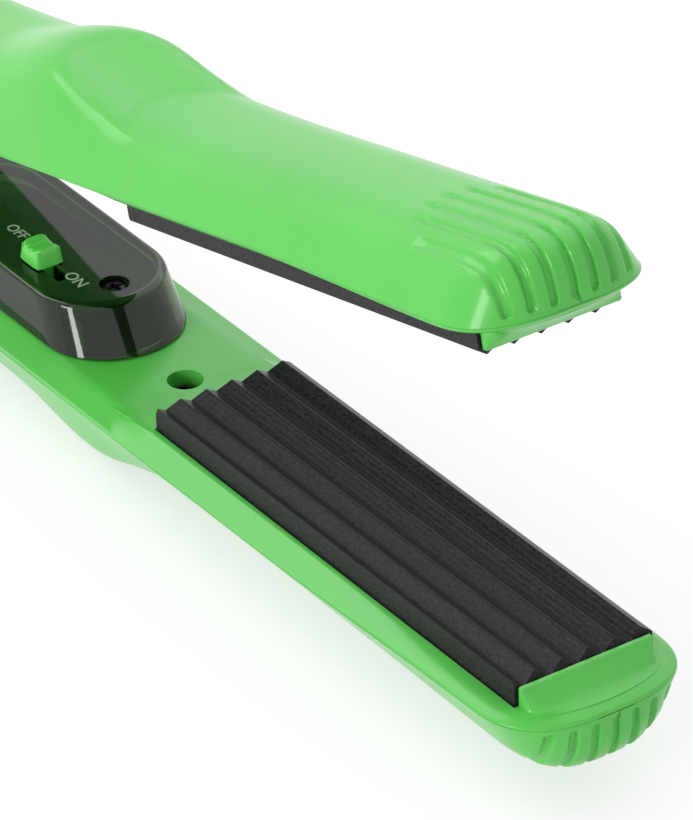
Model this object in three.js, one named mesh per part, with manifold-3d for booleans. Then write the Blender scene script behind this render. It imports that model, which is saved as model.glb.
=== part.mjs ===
// Hair crimper: two long moulded arms on a rear hinge, each with a corrugated heating plate at its tip.
// Millimetres, +Z up, +X towards the tips. The lower arm lies flat and the upper arm stands open above it.
import * as THREE from 'three';
import { mergeVertices } from 'three/addons/utils/BufferGeometryUtils.js';
import Module from 'manifold-3d';

const wasm = await Module();
wasm.setup();

// ---------------------------------------------------------------- driving dimensions
const clearance = 0.3;            // gap between two pieces that touch
const runningGap = 0.4;           // gap between two pieces that move past each other
const wall = 2;                   // moulded wall of the outer shells

const handleLength = 144;         // hinge axis to the rear end of the plates
const openAngle = 13;             // degrees between the plates at rest, the hinge's stop
const pinDrop = 6.4;              // hinge axis below the plane where the plates meet

const plateLength = 100;
const plateWidth = 26.2;
const ridgePitch = 5;
const ridgeDepth = 1.6;
const plateStandoff = 5.6;        // ridge crests above the inner cover
const closedPlateGap = 0.5;       // left between the meshed ridges
const plateFlange = 0.7;          // foot of the plate that hooks under the cover, each side
const plateFlangeThickness = 1.2;
const tipChamfer = 2.2;           // length over which the ridges run out at the tip
const rearChamfer = 0.8;
const heaterChannelWidth = 18;
const heaterChannelRoof = 3.2;    // metal left between a valley and the heater channel

const coverThickness = 2;
const shoulderWidth = 5.6;        // sloping border of the inner cover
const shoulderDrop = 1.65;        // height of the slope
const coverEdgeInset = 0.4;
const borderHeight = 1;           // raised border beside the plate
const borderRun = 6;              // length over which its ends slope down
const noseLength = 8.5;           // from the plate's end to the foremost point of the arm
const rearOverhang = 19;          // from the hinge axis back to the lower arm's end face
const upperRearOverhang = 9;
const restFlatDepth = 0.2;        // cut off the hump so that the tool stands on a flat
const noseTipTrim = 0.05;

const plateSideRoom = 1.3;        // from the plate's foot to the hollow's side at the tip
const plateRearWidening = 0.5;    // half width at the plate's rear end against the tip
const rearHalfWidth = 15.5;
const hingeHalfWidth = 17;
const handleHalfWidth = 17.9;
const rearDepth = 15;             // outer face below the inner cover, from the end face to the tongue
const hingeDepth = 15.6;
const handleDepth = 15.4;
const waistDepth = 14.5;
const humpDepth = 17.6;
const neckDepth = 13.9;
const tongueDepth = 11.1;
const noseDepth = 11.8;
const waistSetback = 52;          // each from the plate's rear end backwards
const humpSetback = 30;
const neckSetback = 16;
const tongueSetback = 5;
const noseSetback = 8;            // from the plate's tip end backwards
const humpSweep = 8;              // how far the hump's sides lie in front of its middle
const crownShare = 0.62;          // flat crown of the section, as a share of its half width
const crownArch = 0.7;            // rise of the crown above its own corners

const blockHeight = 4.4;          // end block in front of the plate
const blockSetIn = 0.6;           // narrower than the plate on each side
const blockTopLength = 0.9;
const blockInset = 2.6;           // from the arm's outline to the foot of the block

const gripCount = 7;
const gripPitch = 3.75;
const gripRadius = 1.15;
const gripDepth = 0.75;
const gripLength = 24;            // longest groove along the crown, from the plate's end backwards
const gripStagger = 9;            // how much shorter the outermost grooves are
const gripFoot = 0.7;             // from the rim up to the groove's end on the nose

const switchCoverWidth = 25.6;
const switchCoverHeight = 8.6;
const switchCoverLength = 64;
const switchCoverSetback = 21.5;  // from the plate's rear end to the cover's front end
const switchCoverWall = 1.6;
const switchCoverDraft = 0.9;     // each side, from base to top
const switchCoverFillet = 0.9;
const switchCoverFrontSlope = 4.5; // from the foot to the top of the cover's front end
const knobSetback = 46.2;          // from the plate's rear end to the knob
const knobOffset = 5.7;           // from the centre line towards the near side
const knobLength = 6.2;
const knobWidth = 5.4;
const knobHeight = 3.6;
const knobTravel = 4;
const trackWidth = 3;
const stemFoot = 1.5;             // lower end of the knob's stem, above the inner cover
const knobPocketMargin = 2;       // round the knob's travel, in the upper arm's inner cover
const knobPocketDepth = 3;

const coverScrewHead = 5.4;       // diameter
const coverScrewShank = 2.9;
const coverScrewLength = 5.2;
const coverScrewWell = 6.2;       // diameter of the well over each screw
const coverScrewWellDepth = 5;
const screwSeatThickness = 1.6;
const frontScrewSetback = 11.5;   // from the plate's rear end
const middleScrewGap = 9;         // from the terminal block's front end
const rearScrewGap = 1.1;         // between the screw's boss and the spring's seat
const bossWall = 1.2;
const headShare = 0.35;           // a screw head's height as a share of its diameter
const smallScrewHead = 4.6;
const smallScrewShank = 2.2;
const smallScrewLength = 9;
const switchScrewWellDepth = 2.4;

const heaterLength = 62;
const heaterWidth = 14;
const heaterThickness = 3;
const filmThickness = 0.6;
const filmOverhang = 2;           // past each end of the heater
const filmSideOverhang = 1;
const carrierThickness = 1.8;
const carrierBar = 6;             // length of the frame's cross bars
const carrierSetback = 12;        // from the plate's tip end
const carrierSetIn = 2.2;         // the frame's side edge from the plate's side
const carrierPostRadius = 2;
const clipThickness = 0.8;
const clipWidth = 10;
const leadDiameter = 1.8;
const fuseRadius = 2;
const fuseLength = 9;

const boardLength = 54;
const boardWidth = 17;
const boardThickness = 1.6;
const boardDepth = 8;             // top face below the inner cover
const switchBodyLength = 13;
const switchBodyWidth = 5.4;
const lampRadius = 1.8;
const lampHeight = 5.4;
const terminalLength = 10;
const terminalWidth = 13;
const terminalHeight = 6;
const terminalPlace = 34;

const pinRadius = 2.5;
const pinInnerEnd = 3;            // from the middle plane to the inner end of each pin
const knuckleRadius = 8.5;
const knuckleHalfWidth = 7.2;
const earRadius = 9.6;
const earThickness = 3.6;
const earFootDrop = 3.7;          // from the pin's axis to the foot of the ears
const washerThickness = 0.5;

const springRadius = 4.4;         // to the middle of the wire
const springWire = 1.2;
const springTurns = 6;
const springPlace = 31;           // from the hinge axis
const springSeatDepth = 1;

const glandRadius = 4.2;
const glandBore = 3.2;            // radius, for a 6 mm lead
const glandDepth = 7.6;           // axis below the inner cover
const glandLength = 7;
const glandFlangeRadius = 4.9;
const glandFlangeThickness = 1.6;

// ---------------------------------------------------------------- derived places, in the frame of one arm
// x runs from the hinge axis to the tip, z is 0 on the inner cover and points at the other arm
const meetingHeight = plateStandoff - ridgeDepth / 2 + closedPlateGap / 2;
const pinHeight = meetingHeight - pinDrop;
const armReach = handleLength + plateLength;
const plateRear = handleLength;
const armFront = armReach + noseLength;
const noseStart = armReach - 6;
const noseCrownStart = armReach;
const shellRim = -coverThickness - clearance;
const earInner = knuckleHalfWidth + washerThickness + 2 * runningGap;
const flangeTop = -coverThickness - clearance;
const flangeBottom = flangeTop - plateFlangeThickness;
const channelRoof = plateStandoff - ridgeDepth - heaterChannelRoof;
const heaterTop = channelRoof - clearance;
const heaterBottom = heaterTop - heaterThickness;
const filmBottom = heaterBottom - clearance - filmThickness;
const switchCoverFront = plateRear - switchCoverSetback;
const switchCoverRear = switchCoverFront - switchCoverLength;
const knobPlace = plateRear - knobSetback;
const switchScrewPlace = switchCoverFront - 11;
const boardFront = switchScrewPlace + 4;
const boardRear = boardFront - boardLength;
const boardBottom = -boardDepth - boardThickness;
const screwSeat = -coverScrewWellDepth;
const bossFoot = screwSeat - screwSeatThickness;
const bossRadius = coverScrewWell / 2 + bossWall;
const middleScrewPlace = terminalPlace + terminalLength / 2 + middleScrewGap;
const rearScrewPlace = springPlace - springRadius - springWire - rearScrewGap - bossRadius;
const coverScrewPlaces = [plateRear - frontScrewSetback, middleScrewPlace, rearScrewPlace];
const leadOffset = bossRadius + leadDiameter / 2 + runningGap;
const tipHalfWidth = plateWidth / 2 + plateFlange + clearance + wall + plateSideRoom;
const plateRearHalfWidth = tipHalfWidth + plateRearWidening;
const carrierPostOffset = plateWidth / 2 - carrierSetIn - carrierPostRadius;
const windowHalfWidth = knobOffset + switchBodyWidth / 2 + clearance;
const windowFront = switchScrewPlace - smallScrewShank / 2 - bossWall - 0.6;

// half width and outer depth of an arm against the distance from the hinge axis
const widthKnots = [
  [-rearOverhang, rearHalfWidth], [4, hingeHalfWidth], [60, handleHalfWidth],
  [plateRear - 40, (handleHalfWidth + plateRearHalfWidth) / 2], [plateRear, plateRearHalfWidth],
  [armReach, tipHalfWidth],
];
const depthKnots = [
  [-rearOverhang, rearDepth], [4, hingeDepth], [50, handleDepth], [plateRear - waistSetback, waistDepth],
  [plateRear - humpSetback, humpDepth], [plateRear - neckSetback, neckDepth],
  [plateRear - tongueSetback, tongueDepth], [(plateRear + armReach) / 2, tongueDepth],
  [armReach - noseSetback, noseDepth], [armReach, noseDepth],
];

// ---------------------------------------------------------------- materials
const finish = (color, roughness, metalness = 0, extra = {}) =>
  new THREE.MeshStandardMaterial({ color, roughness, metalness, ...extra });
const greenPlastic = finish(0x7bd672, 0.38);
const darkGreenPlastic = finish(0x46b83c, 0.42);
const coatedPlate = finish(0x2b292c, 0.42, 0.3);
const smokedPlastic = finish(0x23281f, 0.12, 0, { transparent: true, opacity: 0.75 });
const blackPlastic = finish(0x1c1c1e, 0.55);
const steel = finish(0xb9bcc0, 0.3, 1);
const ceramic = finish(0xe6e2d8, 0.7);
const film = finish(0xb8802c, 0.4);
const board = finish(0x2f6b3b, 0.5);
const redLens = finish(0xc23b22, 0.25);
const leadBlue = finish(0x2f5fa8, 0.5);
const leadBrown = finish(0x6d4328, 0.5);

// ---------------------------------------------------------------- solids
function toSolid(geometry) {
  const bare = geometry.clone();
  bare.deleteAttribute('normal');
  bare.deleteAttribute('uv');
  const merged = mergeVertices(bare, 1e-4);
  return new wasm.Manifold(new wasm.Mesh({
    numProp: 3,
    vertProperties: new Float32Array(merged.attributes.position.array),
    triVerts: new Uint32Array(merged.index.array),
  }));
}

function toGeometry(solid) {
  const mesh = solid.getMesh();
  const geometry = new THREE.BufferGeometry();
  geometry.setAttribute('position', new THREE.BufferAttribute(new Float32Array(mesh.vertProperties), 3));
  geometry.setIndex(new THREE.BufferAttribute(new Uint32Array(mesh.triVerts), 1));
  geometry.computeVertexNormals();
  return geometry;
}

function cut(body, ...tools) {
  return tools.reduce((left, tool) => left.subtract(tool), body);
}

function join(body, ...others) {
  return others.reduce((left, other) => left.add(other), body);
}

function box(x0, x1, y0, y1, z0, z1) {
  const geometry = new THREE.BoxGeometry(x1 - x0, y1 - y0, z1 - z0);
  geometry.translate((x0 + x1) / 2, (y0 + y1) / 2, (z0 + z1) / 2);
  return toSolid(geometry);
}

function rod(radius, from, to, sides = 24) {
  const start = new THREE.Vector3(...from);
  const span = new THREE.Vector3(...to).sub(start);
  const geometry = new THREE.CylinderGeometry(radius, radius, span.length(), sides);
  geometry.translate(0, span.length() / 2, 0);
  const turn = new THREE.Quaternion();
  turn.setFromUnitVectors(new THREE.Vector3(0, 1, 0), span.clone().normalize());
  geometry.applyQuaternion(turn);
  geometry.translate(start.x, start.y, start.z);
  return toSolid(geometry);
}

// a turned piece: profile of [radius, height] pairs, spun about Z
function turned(profile, x, y, z, sides = 24) {
  const geometry = new THREE.LatheGeometry(profile.map(([r, h]) => new THREE.Vector2(r, h)), sides);
  geometry.rotateX(Math.PI / 2);
  geometry.translate(x, y, z);
  return toSolid(geometry);
}

function shapeOf(points) {
  return new THREE.Shape(points.map(([u, v]) => new THREE.Vector2(u, v)));
}

const alongX = new THREE.Matrix4().makeBasis(
  new THREE.Vector3(0, 1, 0), new THREE.Vector3(0, 0, 1), new THREE.Vector3(1, 0, 0));
const alongY = new THREE.Matrix4().makeBasis(
  new THREE.Vector3(1, 0, 0), new THREE.Vector3(0, 0, 1), new THREE.Vector3(0, -1, 0));

// a section in y and z, drawn out from x0 to x1
function drawnAlongX(shape, x0, x1, segments = 12) {
  const options = { depth: x1 - x0, bevelEnabled: false, curveSegments: segments };
  const geometry = new THREE.ExtrudeGeometry(shape, options);
  geometry.applyMatrix4(alongX);
  geometry.translate(x0, 0, 0);
  return toSolid(geometry);
}

// a section in x and z, drawn out from y0 to y1
function drawnAlongY(shape, y0, y1, segments = 12) {
  const options = { depth: y1 - y0, bevelEnabled: false, curveSegments: segments };
  const geometry = new THREE.ExtrudeGeometry(shape, options);
  geometry.applyMatrix4(alongY);
  geometry.translate(0, y1, 0);
  return toSolid(geometry);
}

// a skin over rings of equal point count, with flat ends
function lofted(rings) {
  const count = rings[0].length;
  const positions = rings.flat(2);
  const index = [];
  for (let i = 0; i + 1 < rings.length; i++) {
    for (let j = 0; j < count; j++) {
      const a = i * count + j;
      const b = i * count + (j + 1) % count;
      index.push(a, b, b + count, a, b + count, a + count);
    }
  }
  const lastStart = (rings.length - 1) * count;
  for (const [ring, start, flip] of [[rings[0], 0, true], [rings.at(-1), lastStart, false]]) {
    const flat = flattened(ring);
    for (const [a, b, c] of THREE.ShapeUtils.triangulateShape(flat, [])) {
      const forward = THREE.ShapeUtils.isClockWise(flat) ? flip : !flip;
      index.push(start + a, start + (forward ? b : c), start + (forward ? c : b));
    }
  }
  const geometry = new THREE.BufferGeometry();
  geometry.setAttribute('position', new THREE.Float32BufferAttribute(positions, 3));
  geometry.setIndex(index);
  const solid = toSolid(geometry);
  if (solid.volume() > 0) return solid;
  for (let i = 0; i < index.length; i += 3) {
    [index[i + 1], index[i + 2]] = [index[i + 2], index[i + 1]];
  }
  geometry.setIndex(index);
  return toSolid(geometry);
}

// the two coordinates in which an end ring spreads
function flattened(ring) {
  const sameX = ring.every((p) => Math.abs(p[0] - ring[0][0]) < 1e-9);
  return ring.map((p) => (sameX ? new THREE.Vector2(p[1], p[2]) : new THREE.Vector2(p[0], p[1])));
}

// ---------------------------------------------------------------- the arm's outer form
// a smooth curve through the knots, level at both ends
function through(knots, x) {
  const last = knots.length - 1;
  if (x <= knots[0][0]) return knots[0][1];
  if (x >= knots[last][0]) return knots[last][1];
  const i = knots.findIndex((knot) => knot[0] > x) - 1;
  const slope = (k) => {
    if (k <= 0 || k >= last) return 0;
    return (knots[k + 1][1] - knots[k - 1][1]) / (knots[k + 1][0] - knots[k - 1][0]);
  };
  const span = knots[i + 1][0] - knots[i][0];
  const t = (x - knots[i][0]) / span;
  const h = t * t * (3 - 2 * t);
  const rise = t * (1 - t) * ((1 - t) * slope(i) - t * slope(i + 1)) * span;
  return knots[i][1] * (1 - h) + knots[i + 1][1] * h + rise;
}

// 1 before the start, then down to 0 at the end along a superellipse
function roundedEnd(x, start, end, power) {
  const t = THREE.MathUtils.clamp((x - start) / (end - start), 0, 1);
  return (1 - t ** power) ** (1 / power);
}

function halfWidth(x, rear) {
  const front = roundedEnd(x, noseStart, armFront, 2.8);
  const back = roundedEnd(-x, -rear - 12, -rear + 5, 3);
  return through(widthKnots, x) * front * back;
}

function outerDepth(x, rear) {
  const front = roundedEnd(x, noseCrownStart, armFront, 2.6);
  const back = roundedEnd(-x, -rear - 10, -rear + 5, 2.6);
  const full = through(depthKnots, x) + shellRim;
  return -shellRim + full * front * back;
}

// a count of values spread evenly from one end up to, but without, the other
function even(from, to, count) {
  return Array.from({ length: count }, (unused, i) => from + (to - from) * i / count);
}

// stations along an arm, closer together at the hump and round the ends
function stations(rear, frontEnd, fineness = 1) {
  const rearStart = rear + 13;
  const humpRear = plateRear - waistSetback - 6;
  const humpFront = plateRear;
  const roundSteps = Math.round(8 * fineness);
  const rearSteps = Math.round(5 * fineness);
  const noseRun = frontEnd - noseCrownStart;
  return [
    ...even(0, Math.PI / 2, rearSteps).map((angle) => rear + (rearStart - rear) * (1 - Math.cos(angle))),
    ...even(rearStart, humpRear, 4),
    ...even(humpRear, humpFront, Math.round(12 * fineness)),
    ...even(humpFront, armReach - 2 * noseSetback, 2),
    ...even(armReach - 2 * noseSetback, noseCrownStart, 3),
    ...even(0, Math.PI / 2, roundSteps).map((angle) => noseCrownStart + noseRun * Math.sin(angle)),
    frontEnd,
  ];
}

// half section from the rim over the side and its round corner to the middle of the crown
function halfSection(width, depth, inset, steps = 6) {
  const w = width - inset;
  const d = depth - inset;
  const rim = -shellRim;
  const corner = [width * crownShare, d - crownArch];
  const side = [w, rim];
  const sideLength = Math.hypot(side[0] - corner[0], side[1] - corner[1]);
  const roundShare = Math.min(0.62, 5.2 / sideLength);
  const from = [0, 1].map((k) => corner[k] + (side[k] - corner[k]) * roundShare);
  const to = [corner[0] * 0.52, d - crownArch * 0.35];
  const points = [side];
  for (let i = 0; i <= steps; i++) {
    const t = i / steps;
    const mix = (k) => (1 - t) ** 2 * from[k] + 2 * t * (1 - t) * corner[k] + t ** 2 * to[k];
    points.push([mix(0), mix(1)]);
  }
  points.push([0, d]);
  return points;
}

// the half section at a place along the arm, with the hump's sides swept forward of its middle
function sweptSection(x, rear, inset, steps) {
  const width = halfWidth(x, rear);
  const middle = through(depthKnots, x) + shellRim;
  return halfSection(width, outerDepth(x, rear), inset, steps).map(([y, h]) => {
    const sweep = humpSweep * Math.min(y / width / crownShare, 1) ** 2;
    const local = through(depthKnots, x - sweep) + shellRim;
    return [y, (h + shellRim) * local / middle - shellRim];
  });
}

function armForm(rear, inset, front, fineness) {
  const rearX = rear + inset;
  return lofted(stations(rearX, front, fineness).map((x) => {
    const half = sweptSection(x, rear, inset, Math.round(6 * fineness));
    const mirrored = half.slice(0, -1).reverse().map(([y, h]) => [-y, h]);
    return [...half, ...mirrored].map(([y, h]) => [x, y, -h]);
  }));
}

// depth of the outer form under a line at distance y from the middle
function depthAt(x, y, rear) {
  const half = sweptSection(x, rear, 0);
  for (let i = half.length - 1; i > 0; i--) {
    const [y0, h0] = half[i];
    const [y1, h1] = half[i - 1];
    if (y <= y1) return h0 + (h1 - h0) * (y - y0) / (y1 - y0);
  }
  return 0;
}

// plan outline of an arm, drawn inwards by inset
function planOutline(rear, inset) {
  const list = stations(rear, armFront - noseTipTrim);
  const side = list.map((x) => new THREE.Vector2(x, halfWidth(x, rear)));
  const moved = side.map((point, i) => {
    const before = side[Math.max(i - 1, 0)];
    const after = side[Math.min(i + 1, side.length - 1)];
    const along = after.clone().sub(before).normalize();
    const atRear = THREE.MathUtils.smoothstep(point.x, rear, rear + 30);
    const depth = inset * (0.25 + 0.75 * atRear);
    return [point.x + along.y * depth, Math.max(point.y - along.x * depth, 0.4)];
  });
  const frontX = armFront - noseTipTrim - inset * 0.55;
  const trimmed = moved.map(([x, y]) => [Math.min(x, frontX), y]);
  return [...trimmed, ...trimmed.slice().reverse().map(([x, y]) => [x, -y])];
}

const lowestPoint = Math.max(...stations(-rearOverhang, armFront).map((x) => outerDepth(x, -rearOverhang)));
const glandRear = -rearOverhang - clearance - glandFlangeThickness;
const middleOfLength = (armFront - noseTipTrim + glandRear) / 2;

// ---------------------------------------------------------------- shells and covers
// the outer face beside the middle plane, from a place on the crown round the nose to its foot
function faceLine(y, start, rear) {
  const crownSteps = 4;
  const noseSteps = 9;
  const line = [];
  for (let i = 0; i < crownSteps; i++) {
    const x = start + (noseCrownStart - start) * i / crownSteps;
    line.push([x, depthAt(x, y, rear)]);
  }
  const foot = -shellRim + gripFoot;
  const top = depthAt(noseCrownStart, y, rear);
  for (let i = 0; i <= noseSteps; i++) {
    const depth = foot + (top - foot) * Math.cos(i / noseSteps * Math.PI / 2);
    line.push([placeOfDepth(depth, y, rear), depth]);
  }
  return line;
}

// the place on the nose where the outer face has a given depth, found by halving
function placeOfDepth(depth, y, rear) {
  let near = noseCrownStart;
  let far = armFront - noseTipTrim;
  for (let i = 0; i < 20; i++) {
    const middle = (near + far) / 2;
    if (depthAt(middle, y, rear) >= depth) near = middle;
    else far = middle;
  }
  return near;
}

function gripCutters(rear) {
  const lift = gripRadius - gripDepth;
  const outermost = (gripCount - 1) / 2 * gripPitch;
  return Array.from({ length: gripCount }, (unused, k) => {
    const y = k * gripPitch - outermost;
    const start = armReach - gripLength + gripStagger * (y / outermost) ** 2;
    const line = faceLine(Math.abs(y), start, rear);
    const points = line.map(([x, h], i) => {
      const before = line[Math.max(i - 1, 0)];
      const after = line[Math.min(i + 1, line.length - 1)];
      const along = new THREE.Vector2(after[0] - before[0], after[1] - before[1]).normalize();
      return new THREE.Vector3(x - along.y * lift, y, -(h + along.x * lift));
    });
    points[0].z -= gripDepth + 0.05;
    points.splice(1, 0, points[0].clone().lerp(points[1], 0.3).setZ(points[1].z));
    const path = new THREE.CatmullRomCurve3(points);
    const section = new THREE.Shape().absarc(0, 0, gripRadius, 0, 2 * Math.PI);
    return toSolid(new THREE.ExtrudeGeometry(section, {
      steps: 20, curveSegments: 3, bevelEnabled: false, extrudePath: path,
    }));
  });
}

// a post that rises from the floor of a shell, with a hole in it for a screw
function post(x, y, radius, top, rear, pilotRadius = 0, pilotLength = 0) {
  const floor = depthAt(x, Math.abs(y), rear) - wall / 2;
  const core = armForm(rear, wall / 2, armFront - wall, 0.5);
  const column = rod(radius, [x, y, -floor], [x, y, top], 12).intersect(core);
  if (!pilotRadius) return column;
  const pilot = rod(pilotRadius, [x, y, Math.max(top - pilotLength, -floor + 0.6)], [x, y, top + 1], 8);
  return cut(column, pilot);
}

function outerShell(rear) {
  const form = armForm(rear, 0, armFront - noseTipTrim, 1);
  const cavity = armForm(rear, wall, armFront - wall - 0.6, 0.5);
  const far = 2 * handleHalfWidth;
  const rimBand = box(rear, armFront, -far, far, shellRim - 0.4, shellRim + 1);
  const mouth = cavity.intersect(rimBand).translate(0, 0, 0.39);
  const shell = cut(form, cavity, mouth, ...gripCutters(rear));
  const screwPosts = coverScrewPlaces.map((x) => {
    const top = bossFoot - clearance;
    const shank = coverScrewShank / 2;
    return post(x, 0, shank + bossWall, top, rear, shank + clearance, coverScrewLength);
  });
  const carrierTop = flangeBottom - 2 * clearance - carrierThickness;
  const carrierPosts = [plateRear + 3, armReach - carrierSetback - 3].flatMap((x) =>
    [-1, 1].map((side) => post(x, side * carrierPostOffset, carrierPostRadius, carrierTop, rear)));
  return join(shell, ...screwPosts, ...carrierPosts);
}

function lowerShell() {
  const rear = -rearOverhang;
  const boardPosts = [boardRear + 4, boardFront - 4].map((x) =>
    post(x, 0, 2.4, boardBottom - clearance, rear));
  const glandHole = rod(glandRadius + clearance, [rear - 1, 0, -glandDepth], [rear + 6, 0, -glandDepth]);
  const far = 2 * handleHalfWidth;
  const ground = box(rear, armFront, -far, far, -lowestPoint - 10, -lowestPoint + restFlatDepth);
  return cut(join(outerShell(rear), ...boardPosts), glandHole, ground);
}

function innerCover(rear) {
  const levels = [
    [-coverThickness, 0], [-shoulderDrop, coverEdgeInset],
    [-shoulderDrop * 0.1, shoulderWidth * 0.86], [0, shoulderWidth],
  ];
  const slab = lofted(levels.map(([z, inset]) => planOutline(rear, inset).map(([x, y]) => [x, y, z])));
  let cover = join(slab, raisedBorder(rear), endBlock());
  const opening = plateWidth / 2 + clearance;
  cover = cut(cover, box(plateRear - clearance, armReach + clearance, -opening, opening, -10, 10));
  for (const x of coverScrewPlaces) {
    const boss = rod(bossRadius, [x, 0, bossFoot], [x, 0, -0.5], 16);
    const well = rod(coverScrewWell / 2, [x, 0, screwSeat], [x, 0, 5], 16);
    const hole = rod(coverScrewShank / 2 + clearance, [x, 0, bossFoot - 1], [x, 0, 0], 10);
    cover = cut(join(cover, boss), well, hole);
  }
  return cover;
}

// the border beside the plate, which carries the shoulder's slope on up to the plate's side
function raisedBorder(rear) {
  const topInset = tipHalfWidth - plateWidth / 2 - clearance - 0.3;
  const levels = [[-shoulderDrop, coverEdgeInset + 0.1], [borderHeight, topInset]];
  const form = lofted(levels.map(([z, inset]) => planOutline(rear, inset).map(([x, y]) => [x, y, z])));
  const side = shapeOf([
    [plateRear - borderRun, -shoulderDrop], [armReach + borderRun / 2, -shoulderDrop],
    [armReach + borderRun / 2, -0.1], [armReach - borderRun / 2, borderHeight],
    [plateRear, borderHeight], [plateRear - borderRun, -0.1],
  ]);
  return form.intersect(drawnAlongY(side, -2 * tipHalfWidth, 2 * tipHalfWidth));
}

// the block in front of the plate: its foot follows the nose and its top is a narrow bar
function endBlock() {
  const start = armReach + clearance;
  const steps = 12;
  const halfBlock = plateWidth / 2 - blockSetIn;
  const foot = Array.from({ length: steps + 1 }, (unused, i) => {
    const angle = -Math.PI / 2 + Math.PI * i / steps;
    const reach = armFront - blockInset - start;
    return [start + reach * Math.cos(angle) ** 0.6, halfBlock * Math.sin(angle)];
  });
  const level = (z, share) => [[start, -halfBlock, z], ...foot.slice(1, -1).map(([x, y]) => {
    const top = Math.min(x - start, blockTopLength);
    return [start + top + (x - start - top) * share, y, z];
  }), [start, halfBlock, z]];
  return lofted([
    level(-1, 1), level(0.3, 0.94), level(blockHeight * 0.35, 0.5), level(blockHeight * 0.75, 0.14),
    level(blockHeight - 0.15, 0.02), level(blockHeight, 0),
  ]);
}

function springSeat() {
  return rod(springRadius + springWire, [springPlace, 0, -springSeatDepth], [springPlace, 0, 5], 20);
}

function lowerCover() {
  let cover = innerCover(-rearOverhang);
  const slotHalf = knuckleRadius + 1.6;
  cover = cut(cover, box(-slotHalf, slotHalf, -earInner, earInner, -6, 6));
  const windowRear = switchCoverRear + switchCoverWidth / 2;
  cover = cut(cover, box(windowRear, windowFront, -windowHalfWidth, windowHalfWidth, -6, 6));
  const shank = smallScrewShank / 2;
  const boss = rod(shank + bossWall, [switchScrewPlace, 0, -6], [switchScrewPlace, 0, -0.5], 12);
  const hole = rod(shank + clearance, [switchScrewPlace, 0, -7], [switchScrewPlace, 0, 5], 8);
  cover = cut(join(cover, boss), hole, springSeat());
  const ear = new THREE.Shape();
  const earFoot = pinHeight - earFootDrop;
  ear.moveTo(-earRadius, earFoot);
  ear.lineTo(earRadius, earFoot);
  ear.absarc(0, pinHeight, earRadius, 0, Math.PI, false);
  const foot = drawnAlongY(ear, 0, earThickness, 16);
  for (const side of [-1, 1]) {
    const start = side < 0 ? -earInner - earThickness : earInner;
    const lobe = foot.translate(0, start, 0);
    const end = start + earThickness;
    const bore = rod(pinRadius + runningGap / 2, [0, start - 1, pinHeight], [0, end + 1, pinHeight]);
    cover = cut(join(cover, lobe), bore);
  }
  return cover;
}

function upperCover() {
  let cover = innerCover(-upperRearOverhang);
  const knuckle = new THREE.Shape();
  const pinInUpper = 2 * meetingHeight - pinHeight;
  knuckle.moveTo(-knuckleRadius * 0.7, -1);
  knuckle.lineTo(knuckleRadius * 0.85, -1);
  knuckle.absarc(0, pinInUpper, knuckleRadius, 0, Math.PI, false);
  const lobe = drawnAlongY(knuckle, -knuckleHalfWidth, knuckleHalfWidth, 16);
  const bore = rod(pinRadius + runningGap / 2, [0, -30, pinInUpper], [0, 30, pinInUpper]);
  cover = cut(join(cover, lobe), bore, springSeat());
  const margin = knobPocketMargin;
  const pocketRear = knobPlace - knobLength / 2 - margin;
  const pocketFront = knobPlace + knobLength / 2 + knobTravel + margin;
  const pocketNear = knobOffset - knobWidth / 2 - margin;
  const pocketFar = knobOffset + knobWidth / 2 + margin;
  const lining = box(
    pocketRear - bossWall, pocketFront + bossWall, pocketNear - bossWall, pocketFar + bossWall,
    -knobPocketDepth - bossWall, -0.5);
  const pocket = box(pocketRear, pocketFront, pocketNear, pocketFar, -knobPocketDepth, 5);
  return cut(join(cover, lining), pocket);
}

// ---------------------------------------------------------------- plates and heaters
// height of the ridges, a rounded zigzag with its zero crossing on the middle line
function ridge(y) {
  const phase = 2 * Math.PI * y / ridgePitch;
  const wave = Math.sin(phase) - Math.sin(3 * phase) / 9 + Math.sin(5 * phase) / 25;
  return wave / (1 + 1 / 9 + 1 / 25) * ridgeDepth / 2;
}

function corrugatedPlate() {
  const half = plateWidth / 2;
  const middle = plateStandoff - ridgeDepth / 2;
  const stepsPerRidge = 12;
  const steps = Math.round(plateWidth / ridgePitch * stepsPerRidge);
  const top = Array.from({ length: steps + 1 }, (unused, i) => {
    const y = half - plateWidth * i / steps;
    return [y, middle + ridge(y)];
  });
  const channel = heaterChannelWidth / 2;
  const foot = half + plateFlange;
  const section = shapeOf([
    ...top, [-half, flangeTop], [-foot, flangeTop], [-foot, flangeBottom], [-channel, flangeBottom],
    [-channel, channelRoof], [channel, channelRoof], [channel, flangeBottom], [foot, flangeBottom],
    [foot, flangeTop], [half, flangeTop],
  ]);
  const bar = drawnAlongX(section, plateRear, armReach);
  const valley = plateStandoff - ridgeDepth;
  const runOuts = [[armReach, -tipChamfer], [plateRear, rearChamfer]].map(([end, run]) => {
    const beyond = end - Math.sign(run);
    const above = plateStandoff + 1;
    const slope = [[end + run, plateStandoff], [end, valley], [beyond, valley]];
    return drawnAlongY(shapeOf([...slope, [beyond, above], [end + run, above]]), -plateWidth, plateWidth);
  });
  return cut(bar, ...runOuts);
}

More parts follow.
